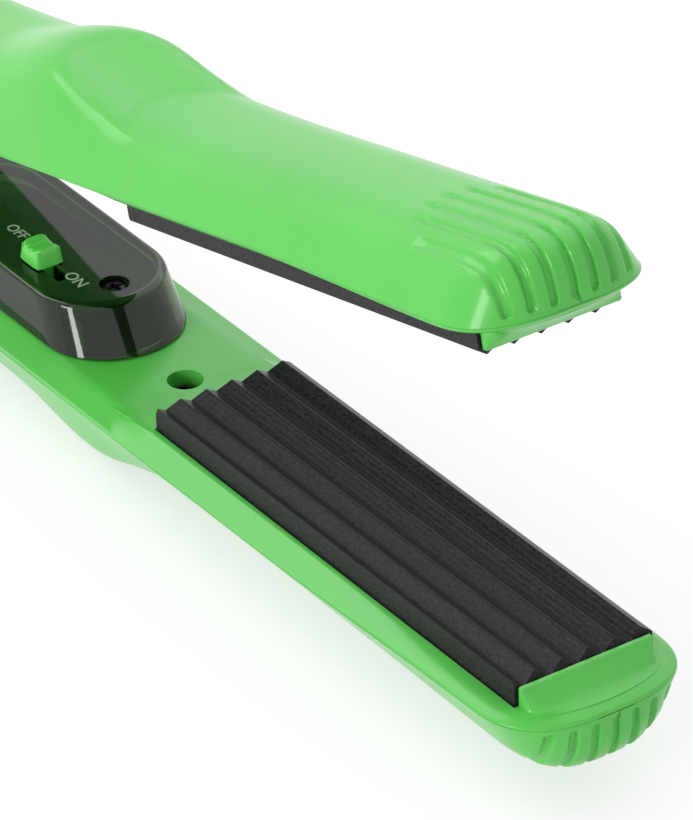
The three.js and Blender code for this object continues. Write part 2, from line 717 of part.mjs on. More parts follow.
function heaterClip() {
  const middle = (plateRear + armReach) / 2;
  const crest = filmBottom - clearance;
  const length = heaterLength * 0.8;
  const feet = [-0.5, 0, 0.5].map((share) => depthAt(middle + share * length, clipWidth / 2, -rearOverhang));
  const floor = -Math.min(...feet) + wall + 2 * clearance;
  const upper = [];
  const lower = [];
  for (let i = 0; i <= 24; i++) {
    const t = i / 24;
    const x = middle + (t - 0.5) * length;
    const wave = 0.5 + 0.5 * Math.cos(4 * Math.PI * t);
    const z = crest - clipThickness + (floor - crest + clipThickness) * wave;
    upper.push([x, z + clipThickness]);
    lower.push([x, z]);
  }
  return drawnAlongY(shapeOf([...upper, ...lower.reverse()]), -clipWidth / 2, clipWidth / 2);
}

function plateCarrier() {
  const outer = carrierPostOffset + carrierPostRadius;
  const inner = heaterChannelWidth / 2;
  const top = flangeBottom - clearance;
  const front = armReach - carrierSetback;
  const frame = box(plateRear, front, -outer, outer, top - carrierThickness, top);
  return cut(frame, box(plateRear + carrierBar, front - carrierBar, -inner, inner, top - 5, top + 5));
}

function thermalFuse() {
  const start = plateRear + carrierBar + 1;
  const z = channelRoof - clearance - fuseRadius;
  const half = fuseLength / 2;
  const cap = 0.8;
  const profile = [
    [0, -half], [fuseRadius * 0.7, -half], [fuseRadius, -half + cap], [fuseRadius, half - cap],
    [fuseRadius * 0.7, half], [0, half],
  ];
  const geometry = new THREE.LatheGeometry(profile.map(([r, h]) => new THREE.Vector2(r, h)), 12);
  geometry.rotateZ(-Math.PI / 2);
  geometry.translate(start + half, 0, z);
  return toSolid(geometry);
}

function lead(points, diameter) {
  const path = new THREE.CatmullRomCurve3(points.map((p) => new THREE.Vector3(...p)));
  const section = new THREE.Shape().absarc(0, 0, diameter / 2, 0, 2 * Math.PI);
  return toSolid(new THREE.ExtrudeGeometry(section, {
    steps: (points.length - 1) * 2, curveSegments: 3, bevelEnabled: false, extrudePath: path,
  }));
}

// ---------------------------------------------------------------- switch
function stadium(width, inset, frontSetback) {
  const radius = width / 2 - inset;
  const outline = [];
  for (let i = 0; i <= 12; i++) {
    const angle = -Math.PI / 2 + i / 12 * Math.PI;
    const centre = switchCoverFront - frontSetback - width / 2;
    outline.push([centre + radius * Math.cos(angle), radius * Math.sin(angle)]);
  }
  for (let i = 0; i <= 12; i++) {
    const angle = Math.PI / 2 + i / 12 * Math.PI;
    outline.push([switchCoverRear + width / 2 + radius * Math.cos(angle), radius * Math.sin(angle)]);
  }
  return outline;
}

function switchCover() {
  const top = switchCoverHeight;
  const level = (inset, z) =>
    stadium(switchCoverWidth, inset, switchCoverFrontSlope * z / top).map(([x, y]) => [x, y, z]);
  const knee = top - switchCoverFillet;
  const outside = lofted([
    level(0, clearance), level(switchCoverDraft * 0.85, knee),
    level(switchCoverDraft + switchCoverFillet * 0.25, top - switchCoverFillet * 0.4),
    level(switchCoverDraft + switchCoverFillet * 0.6, top - switchCoverFillet * 0.1),
    level(switchCoverDraft + switchCoverFillet, top),
  ]);
  const inside = lofted([
    level(switchCoverWall, 0), level(switchCoverWall + switchCoverDraft, top - switchCoverWall),
  ]);
  const x = switchScrewPlace;
  const head = smallScrewHead / 2;
  const column = rod(head + bossWall, [x, 0, clearance], [x, 0, top - 0.5], 16);
  const headWell = rod(head + clearance, [x, 0, top - switchScrewWellDepth], [x, 0, top + 1], 16);
  const shankHole = rod(smallScrewShank / 2 + clearance, [x, 0, -1], [x, 0, top], 12);
  const trackStart = knobPlace - knobLength / 2 - 0.6;
  const trackEnd = knobPlace + knobLength / 2 + knobTravel + 0.6;
  const trackHalf = trackWidth / 2;
  const track = box(trackStart, trackEnd, -knobOffset - trackHalf, -knobOffset + trackHalf, top - 3, top + 1);
  return cut(join(cut(outside, inside), column), headWell, shankHole, track);
}

function switchKnob() {
  const base = switchCoverHeight + clearance;
  const half = knobLength / 2;
  const grip = new THREE.Shape();
  grip.moveTo(-half, base);
  grip.lineTo(half, base);
  grip.lineTo(half - 0.7, base + knobHeight - 0.5);
  grip.lineTo(half - 1.3, base + knobHeight);
  grip.quadraticCurveTo(0, base + knobHeight - 1.1, -half + 1.3, base + knobHeight);
  grip.lineTo(-half + 0.7, base + knobHeight - 0.5);
  const cap = drawnAlongY(grip, -knobWidth / 2, knobWidth / 2, 6);
  const stemHalf = trackWidth / 2 - runningGap;
  const stem = box(-half + 1.2, half - 1.2, -stemHalf, stemHalf, stemFoot, base + 0.5);
  return join(cap, stem).translate(knobPlace, -knobOffset, 0);
}

function crossHeadScrew(x, top, headDiameter, shankDiameter, length) {
  const head = headDiameter / 2;
  const shank = shankDiameter / 2;
  const headHeight = headDiameter * headShare;
  const body = turned([
    [0, -headHeight - length], [shank * 0.5, -headHeight - length], [shank, -headHeight - length + 1.4],
    [shank, -headHeight], [head, -headHeight], [head, -headHeight * 0.35], [head * 0.6, 0], [0, 0],
  ], x, 0, top, 10);
  const arm = headDiameter * 0.3;
  const slot = headDiameter * 0.09;
  const depth = headHeight * 0.7;
  const alongSlot = box(x - arm, x + arm, -slot, slot, top - depth, top + 1);
  const acrossSlot = box(x - slot, x + slot, -arm, arm, top - depth, top + 1);
  return cut(body, alongSlot, acrossSlot);
}

// ---------------------------------------------------------------- assembly
const model = new THREE.Group();
const lowerArm = new THREE.Group();
const hinge = new THREE.Group();
const upperArm = new THREE.Group();

function place(group, name, solid, material) {
  const mesh = new THREE.Mesh(toGeometry(solid), material);
  mesh.name = name;
  group.add(mesh);
}

function addCommonPieces(group, side) {
  place(group, `${side}_plate`, corrugatedPlate(), coatedPlate);
  const middle = (plateRear + armReach) / 2;
  const heaterHalf = heaterLength / 2;
  const heaterSide = heaterWidth / 2;
  const heater = box(
    middle - heaterHalf, middle + heaterHalf, -heaterSide, heaterSide, heaterBottom, heaterTop);
  place(group, `${side}_heater`, heater, ceramic);
  const filmHalf = heaterHalf + filmOverhang;
  const filmSide = heaterSide + filmSideOverhang;
  const filmTop = filmBottom + filmThickness;
  const sheet = box(middle - filmHalf, middle + filmHalf, -filmSide, filmSide, filmBottom, filmTop);
  place(group, `${side}_heater_film`, sheet, film);
  place(group, `${side}_heater_clip`, heaterClip(), steel);
  place(group, `${side}_plate_carrier`, plateCarrier(), blackPlastic);
  place(group, `${side}_thermal_fuse`, thermalFuse(), ceramic);
  coverScrewPlaces.forEach((x, i) => {
    const top = screwSeat + clearance + coverScrewHead * headShare;
    place(group, `${side}_cover_screw_${i + 1}`,
      crossHeadScrew(x, top, coverScrewHead, coverScrewShank, coverScrewLength), steel);
  });
}

// ---- hinge
function hingePin(side) {
  const outer = earInner + earThickness;
  const bevel = 0.5;
  const profile = [
    [0, pinInnerEnd], [pinRadius - bevel, pinInnerEnd], [pinRadius, pinInnerEnd + bevel],
    [pinRadius, outer - bevel], [pinRadius - bevel, outer], [0, outer],
  ];
  const geometry = new THREE.LatheGeometry(profile.map(([r, h]) => new THREE.Vector2(r, h)), 20);
  if (side < 0) geometry.rotateX(Math.PI);
  geometry.translate(0, 0, pinHeight);
  return toSolid(geometry);
}

function hingeWasher(side) {
  const middle = side * (knuckleHalfWidth + runningGap + washerThickness / 2);
  const half = washerThickness / 2;
  const disc = rod(pinRadius + 2.4, [0, middle - half, pinHeight], [0, middle + half, pinHeight], 20);
  return cut(disc, rod(pinRadius + clearance, [0, middle - 2, pinHeight], [0, middle + 2, pinHeight], 20));
}

// the wire of the opening spring winds about a gently bent line from one seat square to the other
function openingSpring() {
  const turn = THREE.MathUtils.degToRad(openAngle);
  const lowerSeat = new THREE.Vector2(springPlace, -springSeatDepth);
  const arm = new THREE.Vector2(springPlace, 2 * meetingHeight + springSeatDepth - pinHeight);
  const upperSeat = arm.clone().rotateAround(new THREE.Vector2(), turn).add(new THREE.Vector2(0, pinHeight));
  const rise = upperSeat.y - lowerSeat.y;
  const upperNormal = new THREE.Vector2(Math.sin(turn), -Math.cos(turn));
  const spine = new THREE.CubicBezierCurve(
    lowerSeat, lowerSeat.clone().add(new THREE.Vector2(0, rise / 3)),
    upperSeat.clone().addScaledVector(upperNormal, rise / 3), upperSeat);
  const endShare = (springWire / 2 + clearance) / rise;
  const stepsPerTurn = 8;
  const points = Array.from({ length: springTurns * stepsPerTurn + 1 }, (unused, i) => {
    const t = endShare + (1 - 2 * endShare) * i / (springTurns * stepsPerTurn);
    const centre = spine.getPoint(t);
    const along = spine.getTangent(t);
    const angle = 2 * Math.PI * i / stepsPerTurn;
    const across = springRadius * Math.cos(angle);
    const x = centre.x + along.y * across;
    return new THREE.Vector3(x, springRadius * Math.sin(angle), centre.y - along.x * across);
  });
  reportLeastGap('opening_spring', points, springWire, stepsPerTurn);
  const path = new THREE.CatmullRomCurve3(points);
  const section = new THREE.Shape().absarc(0, 0, springWire / 2, 0, 2 * Math.PI);
  return toSolid(new THREE.ExtrudeGeometry(section, {
    steps: points.length - 1, curveSegments: 3, bevelEnabled: false, extrudePath: path,
  }));
}

// the smallest space between two turns of one wire
function reportLeastGap(name, points, thickness, stepsPerTurn) {
  let least = Infinity;
  for (let i = 0; i < points.length; i++) {
    for (let j = i + Math.floor(stepsPerTurn * 0.6); j < points.length; j++) {
      least = Math.min(least, points[i].distanceTo(points[j]) - thickness);
    }
  }
  console.log(`${name}: least gap between turns ${least.toFixed(2)} mm`);
}

// ---- lead inlet, board and switch
function cordGland() {
  const outside = -rearOverhang - clearance;
  const body = join(
    rod(glandRadius, [outside - 0.5, 0, -glandDepth], [outside + glandLength, 0, -glandDepth]),
    rod(glandFlangeRadius, [glandRear, 0, -glandDepth], [outside, 0, -glandDepth]));
  const bore = rod(glandBore, [glandRear - 1, 0, -glandDepth], [outside + glandLength + 1, 0, -glandDepth], 16);
  return cut(body, bore);
}

function floorAt(x, y) {
  return -depthAt(x, Math.abs(y) + wall / 2, -rearOverhang) + wall;
}

function terminalBlock() {
  const start = terminalPlace - terminalLength / 2;
  const floor = floorAt(terminalPlace, terminalWidth / 2) + clearance;
  const top = floor + terminalHeight;
  let block = box(start, start + terminalLength, -terminalWidth / 2, terminalWidth / 2, floor, top);
  for (const y of [-3.2, 3.2]) {
    block = cut(block, rod(1.6, [terminalPlace, y, top - 2.5], [terminalPlace, y, top + 1], 10));
  }
  return block;
}

function controlBoard() {
  return box(boardRear, boardFront, -boardWidth / 2, boardWidth / 2, boardBottom, -boardDepth);
}

function switchBody() {
  const half = switchBodyLength / 2;
  const top = stemFoot - clearance;
  const near = -knobOffset - switchBodyWidth / 2;
  const middle = knobPlace + knobTravel / 2;
  const far = near + switchBodyWidth;
  const base = box(middle - half, middle + half, near, far, -boardDepth + clearance, top - 1);
  const collar = box(middle - half + 1, middle + half - 1, near + 0.8, far - 0.8, top - 2, top);
  return join(base, collar);
}

function pilotLamp() {
  const x = switchScrewPlace - 9;
  const r = lampRadius;
  const foot = -boardDepth + clearance;
  return turned([
    [0, 0], [r + 0.5, 0], [r + 0.5, 1], [r, 1], [r, lampHeight - r], [r * 0.87, lampHeight - r / 2],
    [r * 0.5, lampHeight - r * 0.13], [0, lampHeight],
  ], x, knobOffset - 1.2, foot, 12);
}

// a wire from a terminal block along the arm to the rear end of the heater
function heaterLead(side, startX, startZ) {
  const y = leadOffset * side;
  const inner = (fuseRadius + leadDiameter + clearance) * side;
  const end = (plateRear + armReach) / 2 - heaterLength / 2 - clearance;
  const filmRear = end + clearance - filmOverhang;
  const middleOfHeater = (heaterTop + heaterBottom) / 2;
  const under = flangeBottom - carrierThickness - 3 * clearance - leadDiameter / 2;
  return [
    [startX, y, startZ], [startX + 6, y, startZ], [plateRear - 14, y, under], [plateRear - 5, y, under],
    [plateRear + 2, inner, under - 0.1], [plateRear + carrierBar + 1, inner, under],
    [filmRear - 3, inner, middleOfHeater - 0.6],
    [filmRear - 1, inner, middleOfHeater], [end, inner, middleOfHeater],
  ];
}

addCommonPieces(lowerArm, 'lower');
place(lowerArm, 'lower_shell', lowerShell(), greenPlastic);
place(lowerArm, 'lower_inner_cover', lowerCover(), greenPlastic);
place(lowerArm, 'switch_cover', switchCover(), smokedPlastic);
place(lowerArm, 'switch_knob', switchKnob(), darkGreenPlastic);
const switchScrewTop = switchCoverHeight - switchScrewWellDepth + clearance + smallScrewHead * headShare;
place(lowerArm, 'switch_cover_screw',
  crossHeadScrew(switchScrewPlace, switchScrewTop, smallScrewHead, smallScrewShank, smallScrewLength), steel);
place(lowerArm, 'switch_body', switchBody(), blackPlastic);
place(lowerArm, 'control_board', controlBoard(), board);
place(lowerArm, 'pilot_lamp', pilotLamp(), redLens);
place(lowerArm, 'lower_terminal_block', terminalBlock(), ceramic);
place(lowerArm, 'cord_gland', cordGland(), blackPlastic);
place(lowerArm, 'hinge_pin_near', hingePin(-1), steel);
place(lowerArm, 'hinge_pin_far', hingePin(1), steel);
place(lowerArm, 'hinge_washer_near', hingeWasher(-1), ceramic);
place(lowerArm, 'hinge_washer_far', hingeWasher(1), ceramic);
place(lowerArm, 'opening_spring', openingSpring(), steel);

addCommonPieces(upperArm, 'upper');
place(upperArm, 'upper_shell', outerShell(-upperRearOverhang), greenPlastic);
place(upperArm, 'upper_inner_cover', upperCover(), greenPlastic);
place(upperArm, 'upper_terminal_block', terminalBlock(), ceramic);

const wireColors = [['live', -1, leadBrown], ['neutral', 1, leadBlue]];
for (const [name, side, material] of wireColors) {
  const terminalEnd = terminalPlace + terminalLength / 2 + clearance;
  const terminalMiddle = floorAt(terminalPlace, terminalWidth / 2) + clearance + terminalHeight / 2;
  const terminalSide = leadOffset * side;
  const boardMiddle = (boardBottom - boardDepth) / 2;
  place(lowerArm, `lower_heater_lead_${name}`,
    lead(heaterLead(side, boardFront + clearance, boardMiddle), leadDiameter), material);
  place(upperArm, `upper_heater_lead_${name}`,
    lead(heaterLead(side, terminalEnd, terminalMiddle), leadDiameter), material);
  place(lowerArm, `board_lead_${name}`, lead([
    [terminalEnd, terminalSide, terminalMiddle], [terminalEnd + 4, terminalSide, terminalMiddle],
    [boardRear - 4, terminalSide, boardMiddle], [boardRear - clearance, terminalSide, boardMiddle],
  ], leadDiameter), material);
  const glandEnd = -rearOverhang + glandLength;
  const underKnuckle = pinHeight - knuckleRadius - runningGap - leadDiameter / 2 - clearance;
  place(lowerArm, `supply_lead_${name}`, lead([
    [glandEnd - 4, 1.3 * side, -glandDepth - 0.4], [glandEnd - 1, 1.3 * side, -glandDepth - 0.6],
    [-knuckleRadius, 2 * side, -glandDepth - 2], [-3, 2.8 * side, underKnuckle + 0.3],
    [4, 3 * side, underKnuckle], [12, 4.6 * side, underKnuckle + 0.6], [24, 5 * side, terminalMiddle],
    [terminalPlace - terminalLength / 2 - clearance, 5 * side, terminalMiddle],
  ], leadDiameter), material);
}

// the hump of the lower arm stands on the ground, and the origin is under the middle of the whole length
lowerArm.position.set(-middleOfLength, 0, lowestPoint - restFlatDepth);
hinge.position.set(-middleOfLength, 0, lowestPoint - restFlatDepth + pinHeight);
hinge.rotation.y = -THREE.MathUtils.degToRad(openAngle);
upperArm.position.set(0, 0, 2 * meetingHeight - pinHeight);
upperArm.rotation.x = Math.PI;
hinge.add(upperArm);
model.add(lowerArm, hinge);

export default model;
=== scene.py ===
"""A hair crimper standing open on a pale floor.

Two moulded arms meet in a rear hinge, and each carries a corrugated plate at its tip.
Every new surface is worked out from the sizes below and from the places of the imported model.
"""
import math

import bmesh
import bpy
import numpy as np
from mathutils import Matrix, Vector


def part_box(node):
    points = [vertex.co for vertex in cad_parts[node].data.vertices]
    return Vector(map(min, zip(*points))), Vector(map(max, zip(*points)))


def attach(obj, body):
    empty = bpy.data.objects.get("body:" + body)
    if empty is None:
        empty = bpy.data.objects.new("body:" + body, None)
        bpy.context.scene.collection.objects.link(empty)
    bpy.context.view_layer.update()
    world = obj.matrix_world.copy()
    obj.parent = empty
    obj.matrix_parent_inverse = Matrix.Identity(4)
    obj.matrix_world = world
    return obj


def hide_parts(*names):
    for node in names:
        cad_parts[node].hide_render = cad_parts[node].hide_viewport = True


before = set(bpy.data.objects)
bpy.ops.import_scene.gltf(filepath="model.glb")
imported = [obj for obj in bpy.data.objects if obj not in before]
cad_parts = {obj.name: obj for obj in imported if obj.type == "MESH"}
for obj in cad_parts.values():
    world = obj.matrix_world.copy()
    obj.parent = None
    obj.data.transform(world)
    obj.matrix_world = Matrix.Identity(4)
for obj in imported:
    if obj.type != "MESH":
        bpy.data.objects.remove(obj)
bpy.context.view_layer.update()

MM = 0.001


def corners(node):
    """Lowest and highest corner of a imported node, in millimetres."""
    low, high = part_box(node)
    return np.array(low) / MM, np.array(high) / MM


# ---------------------------------------------------------------- the photograph's view
PHOTO_WIDTH = 693
PHOTO_HEIGHT = 820
SENSOR = 36.0                      # millimetres, along the photograph's long side
FOCAL_PIXELS = 6613.4
CAMERA_AZIMUTH = 0.985318882       # radians
CAMERA_ELEVATION = 0.552568899
CAMERA_ROLL = -0.0302971114
CAMERA_DISTANCE = 1011.94          # millimetres
CAMERA_ASIDE = -37.298
CAMERA_RAISED = 36.72

# ---------------------------------------------------------------- sizes, in millimetres
# In the frame of one arm x runs from the hinge axis to the tip,
# and z is 0 on the inner cover and points at the other arm.
CLEARANCE = 0.3
RUNNING_GAP = 0.4
WALL = 2.0
BEYOND = 40.0                      # past the arm on either side, for cutting
OPEN_ANGLE = math.radians(13)

PLATE_STANDOFF = 5.6               # ridge crests above the inner cover
RIDGE_DEPTH = 1.6
RIDGE_PITCH = 5.0
CLOSED_GAP = 0.5                   # left between the meshed ridges
PLATE_WIDTH = 26.2
PLATE_FLANGE = 0.7                 # foot that hooks under the cover, each side
FLANGE_THICKNESS = 1.2
TIP_CHAMFER = 0.7                  # length over which the ridges run out at the tip
REAR_CHAMFER = 0.8
CHANNEL_HALF = 9.0                 # half width of the heater's channel
CHANNEL_ROOF = 3.2                 # metal between a valley and the channel

COVER_THICKNESS = 2.0
SHOULDER_WIDTH = 5.6               # sloping edge of the inner cover
SHOULDER_DROP = 1.65
BORDER_HEIGHT = 1.0                # raised border beside the plate
BORDER_RUN = 12.0                  # length over which its rear end slopes down
BORDER_START = -0.45               # height at which that slope begins
REAR_INSET = 0.25                  # share of an inset that the outline keeps at the rear end
REAR_INSET_RUN = 30
RIM = COVER_THICKNESS + CLEARANCE
SKIN_RIM = COVER_THICKNESS + 0.03
NOSE_LIFT = 1.4                    # how much higher the parting line runs round the nose
NOSE_LIFT_RUN = 62                 # length over which it climbs

NOSE_LENGTH = 8.5                  # from the plate's end to the foremost point
NOSE_TRIM = 0.06
NOSE_TURN = (0.7, 0.6)             # distance from the tip, and length, in which normals turn ahead
NOSE_LEAN = 14                     # length at the tip over which outward leans ahead
RIM_EASE_IN = (0.10, 0.03, 0.0)    # three steps that ease the rim's edge: drawn in, and up
RIM_EASE_UP = (0.0, 0.02, 0.09)
NOSE_SOLID = 2.6                   # solid length behind the nose's wall
REAR_OVERHANG = {"lower": 19.0, "upper": 9.0}
REAR_PAST = 5                      # how far past the rear face its rounding would close
REAR_FLANK = (12, 3)               # length and power of the rear rounding seen from above
REAR_CROWN = (10, 2.6)             # the same seen from the side
REAR_ROUND = 13
CROWN_SHARE = 0.62                 # where the crown's corner lies, as a share of the half width
CROWN_ARCH = 0.7
SECTION_ROUND = 5.2                # length of the side that the section's round takes
ROUND_LIMIT = 0.62                 # and the most of the side that it may take
ROUND_END = 0.52                   # where the round meets the crown, as a share of the corner's y
ARCH_SHARE = 0.35                  # and its drop there, as a share of the arch
HUMP_SWEEP = 8.0                   # how far the hump's sides lie in front of its middle

GRIP_COUNT = 7
GRIP_PITCH = 3.75
GRIP_RADIUS = 1.0
GRIP_CROWN_DEPTH = 0.42
GRIP_SLOPE_DEPTH = 0.8
GRIP_LENGTH = 24.0                 # longest groove along the crown, from the plate's end backwards
GRIP_STAGGER = 9.0                 # how much shorter the outermost grooves are
GRIP_FOOT = 0.7                    # from the rim up to the groove's end on the nose
GRIP_BLEND = (4, 8)                # start behind the plate's end, and length, of the change in depth
GRIP_NARROWING = 0.12
GRIP_WALL = 0.5                    # share of a groove's half width that its wall takes

BLOCK_HEIGHT = 4.4                 # end block in front of the plate
BLOCK_TOP_LENGTH = 0.9
BLOCK_INSET = 2.6                  # from the arm's outline to the foot of the block
BLOCK_SET_IN = 0.6                 # narrower than the plate on each side
BLOCK_FLARE = 0.26                 # widening of its foot, as a share, and its height
BLOCK_FLARE_HEIGHT = 0.22
BLOCK_EDGE = 0.25                  # height and depth of the eased top edge
BLOCK_EDGE_TRIM = 0.22
BLOCK_TAPER = 1.25                 # power of its thinning upwards
BLOCK_BLUNTNESS = 0.6              # power of the cosine that shapes its foot

SCREW_HEAD = 5.4                   # diameter
SCREW_SHANK = 2.9
SCREW_LENGTH = 5.2
SCREW_WELL = 6.2
SCREW_WELL_DEPTH = 5.0
SCREW_RISE = 0.5                   # top of a cover screw above its seat, as a share of its head
HEAD_SHARE = 0.35                  # a head's height, as a share of its diameter
RECESS_ARM = 0.3                   # half of a cross recess's reach, share of the head's width
RECESS_SLOT = 0.085                # half of its slot's width, same
RECESS_DEPTH = 0.62                # share of the head's height
BOSS_WALL = 1.2
SEAT_THICKNESS = 1.6
SMALL_HEAD = 4.6                   # the switch cover's screw
SMALL_SHANK = 2.2
SMALL_LENGTH = 9.0

PIN_RADIUS = 2.5
PIN_INNER_END = 3.0                # from the middle plane
PIN_EASE = 0.5
KNUCKLE_RADIUS = 8.5
KNUCKLE_HALF = 7.2
KNUCKLE_ROOM = 1.6                 # round the knuckle, in the lower cover
EAR_RADIUS = 9.6
EAR_THICKNESS = 3.6
EAR_FOOT_DROP = 3.7                # from the pin's axis to the foot of the ears
WASHER = 0.5                       # thickness
WASHER_BAND = 2.4                  # from the pin to the washer's outer edge
EAR_INNER = KNUCKLE_HALF + WASHER + 2 * RUNNING_GAP
SPRING_PLACE = 31.0
SPRING_OUTER = 5.6
GLAND_RADIUS = 4.2
GLAND_BORE = 3.2
GLAND_DEPTH = 7.6
GLAND_LENGTH = 7.0
GLAND_FLANGE = 4.9
GLAND_FLANGE_THICKNESS = 1.6
INLET_RADIUS = GLAND_RADIUS + CLEARANCE

plate_low, plate_high = corners("lower_plate")
pin_low, pin_high = corners("hinge_pin_near")
switch_low, switch_high = corners("switch_cover")
knob_low, knob_high = corners("switch_knob")
HINGE = np.array([(pin_low[0] + pin_high[0]) / 2, 0, (pin_low[2] + pin_high[2]) / 2])
LOWER_ORIGIN = np.array([HINGE[0], 0, plate_low[2] + FLANGE_THICKNESS + RIM])
PIN_HEIGHT = HINGE[2] - LOWER_ORIGIN[2]
MEETING_HEIGHT = PLATE_STANDOFF - RIDGE_DEPTH / 2 + CLOSED_GAP / 2
UPPER_OFFSET = 2 * MEETING_HEIGHT - PIN_HEIGHT
PLATE_REAR = plate_low[0] - HINGE[0]
PLATE_FRONT = plate_high[0] - HINGE[0]
ARM_FRONT = PLATE_FRONT + NOSE_LENGTH
NOSE_FLANK = (PLATE_FRONT - 6, 2.8)     # start and power of the nose's rounding seen from above
NOSE_CROWN = (PLATE_FRONT, 2.6)         # the same seen from the side

REAR_END = -REAR_OVERHANG["lower"]
REAR_HALF_WIDTH = 15.5
HINGE_HALF_WIDTH = 17
HANDLE_HALF_WIDTH = 17.9
TIP_HALF_WIDTH = 17.4
WIDTH_KNOTS = [
    (REAR_END, REAR_HALF_WIDTH),
    (4, HINGE_HALF_WIDTH),
    (60, HANDLE_HALF_WIDTH),
    (PLATE_REAR - 40, HANDLE_HALF_WIDTH),
    (PLATE_REAR, HANDLE_HALF_WIDTH),
    (PLATE_FRONT, TIP_HALF_WIDTH),
]
REAR_DEPTH = 15                    # outer face below the inner cover, from the rear face to the tip
HINGE_DEPTH = 15.6
HANDLE_DEPTH = 15.4
WAIST_DEPTH = 14.5
HUMP_DEPTH = 17.6
NECK_DEPTH = 13.9
TONGUE_DEPTH = 11.1
NOSE_DEPTH = 11.8
DEPTH_KNOTS = [
    (REAR_END, REAR_DEPTH),
    (4, HINGE_DEPTH),
    (50, HANDLE_DEPTH),
    (PLATE_REAR - 52, WAIST_DEPTH),
    (PLATE_REAR - 30, HUMP_DEPTH),
    (PLATE_REAR - 16, NECK_DEPTH),
    (PLATE_REAR - 5, TONGUE_DEPTH),
    ((PLATE_REAR + PLATE_FRONT) / 2, TONGUE_DEPTH),
    (PLATE_FRONT - 8, NOSE_DEPTH),
    (PLATE_FRONT, NOSE_DEPTH),
]
SCREW_PLACES = (PLATE_REAR - 11.5, 48.0, 20.0)

SWITCH_HEIGHT = switch_high[2] - LOWER_ORIGIN[2]
SWITCH_WIDTH = switch_high[1] - switch_low[1]
SWITCH_FRONT = PLATE_REAR - 21.5
SWITCH_REAR = switch_low[0] - HINGE[0]
SWITCH_WALL = 1.6
SWITCH_DRAFT = 0.9                 # each side, from base to top
SWITCH_FILLET = 0.9
SWITCH_SLOPE = 4.5                 # from the foot to the top of the front end
SWITCH_WELL = 2.4
SWITCH_BODY_WIDTH = 5.4
KNOB_LENGTH = 6.2
KNOB_WIDTH = 5.4
KNOB_HEIGHT = 3.6
KNOB_TRAVEL = 4.0
KNOB_LEAN = (0.84, 0.92)           # its top's length and width, as shares of its foot's
FONT_SIZE = 1.35                   # of the height of its capitals
LETTER_RISE = 0.04                 # half of the letters' thickness
LETTER_LIFT = 0.045                # of their middle above the cover
KNOB_DISH = 1.0
KNOB_RIB = 0.22
KNOB_EDGE = 0.75                   # how far the rim of the top is rounded down
KNOB_PLACE = (knob_low[0] + knob_high[0]) / 2 - HINGE[0]
KNOB_OFFSET = -(knob_low[1] + knob_high[1]) / 2
STEM_FOOT = 1.5                    # lower end of the knob's stem, above the inner cover
TRACK_WIDTH = 3.0
TRACK_END = 0.6                    # room at each end of the knob's travel
POCKET_MARGIN = 2                  # round the knob's travel, in the upper cover
POCKET_DEPTH = 3
SMALL_PLACE = SWITCH_FRONT - 11
WINDOW_REAR = SWITCH_REAR + SWITCH_WIDTH / 2
WINDOW_FRONT = SMALL_PLACE - SMALL_SHANK / 2 - BOSS_WALL - 0.6
WINDOW_HALF = KNOB_OFFSET + SWITCH_BODY_WIDTH / 2 + CLEARANCE


# ---------------------------------------------------------------- places
def on_lower_arm(points):
    """Arm frame to the object's frame, in metres: shifted to the lower arm's place."""
    return (np.asarray(points) + LOWER_ORIGIN) * MM


def on_upper_arm(points):
    """Arm frame to the object's frame: turned over about X, raised above the pin, opened about it."""
    p = np.asarray(points)
    x, y, z = p[..., 0], -p[..., 1], UPPER_OFFSET - p[..., 2]
    c, s = math.cos(OPEN_ANGLE), math.sin(OPEN_ANGLE)
    return (np.stack([x * c - z * s, y, x * s + z * c], -1) + HINGE) * MM


PLACES = {"lower": on_lower_arm, "upper": on_upper_arm}


# ---------------------------------------------------------------- meshes
def built(name, points, faces):
    """A mesh object of points in metres and faces, turned outwards if its signed volume is negative."""
    mesh = bpy.data.meshes.new(name)
    mesh.from_pydata(np.asarray(points).reshape(-1, 3).tolist(), [], faces)
    mesh.update()
    mesh.calc_loop_triangles()
    v = np.empty(len(mesh.vertices) * 3)
    mesh.vertices.foreach_get("co", v)
    v = v.reshape(-1, 3)
    t = np.empty(len(mesh.loop_triangles) * 3, dtype=np.int64)
    mesh.loop_triangles.foreach_get("vertices", t)
    a, b, c = v[t.reshape(-1, 3)].transpose(1, 0, 2)
    if np.einsum("ij,ij->i", a, np.cross(b, c)).sum() < 0:
        mesh.flip_normals()
    piece = bpy.data.objects.new(name, mesh)
    bpy.context.scene.collection.objects.link(piece)
    return piece


def strip_faces(rows, columns, around=True):
    """Quads between neighbouring rings of one grid; around joins each ring's last point to its first."""
    last = columns if around else columns - 1
    i, j = np.meshgrid(np.arange(rows - 1), np.arange(last), indexing="ij")
    a = i * columns + j
    b = i * columns + (j + 1) % columns
    return np.stack([a, b, b + columns, a + columns], -1).reshape(-1, 4).tolist()


def lofted(name, rings):
    """A skin over closed rings of equal count, with one flat face at each end."""
    rings = np.asarray(rings)
    rows, columns = rings.shape[:2]
    ends = [list(range(columns))[::-1], [(rows - 1) * columns + j for j in range(columns)]]
    return built(name, rings, strip_faces(rows, columns) + ends)


def ring_of_rings(name, rings):
    """A skin over closed rings whose last ring joins the first, as on a tube bent into a ring."""
    rings = np.asarray(rings)
    rows, columns = rings.shape[:2]
    faces = strip_faces(rows + 1, columns)
    wrapped = (np.array(faces) % (rows * columns)).tolist()
    return built(name, rings, wrapped)


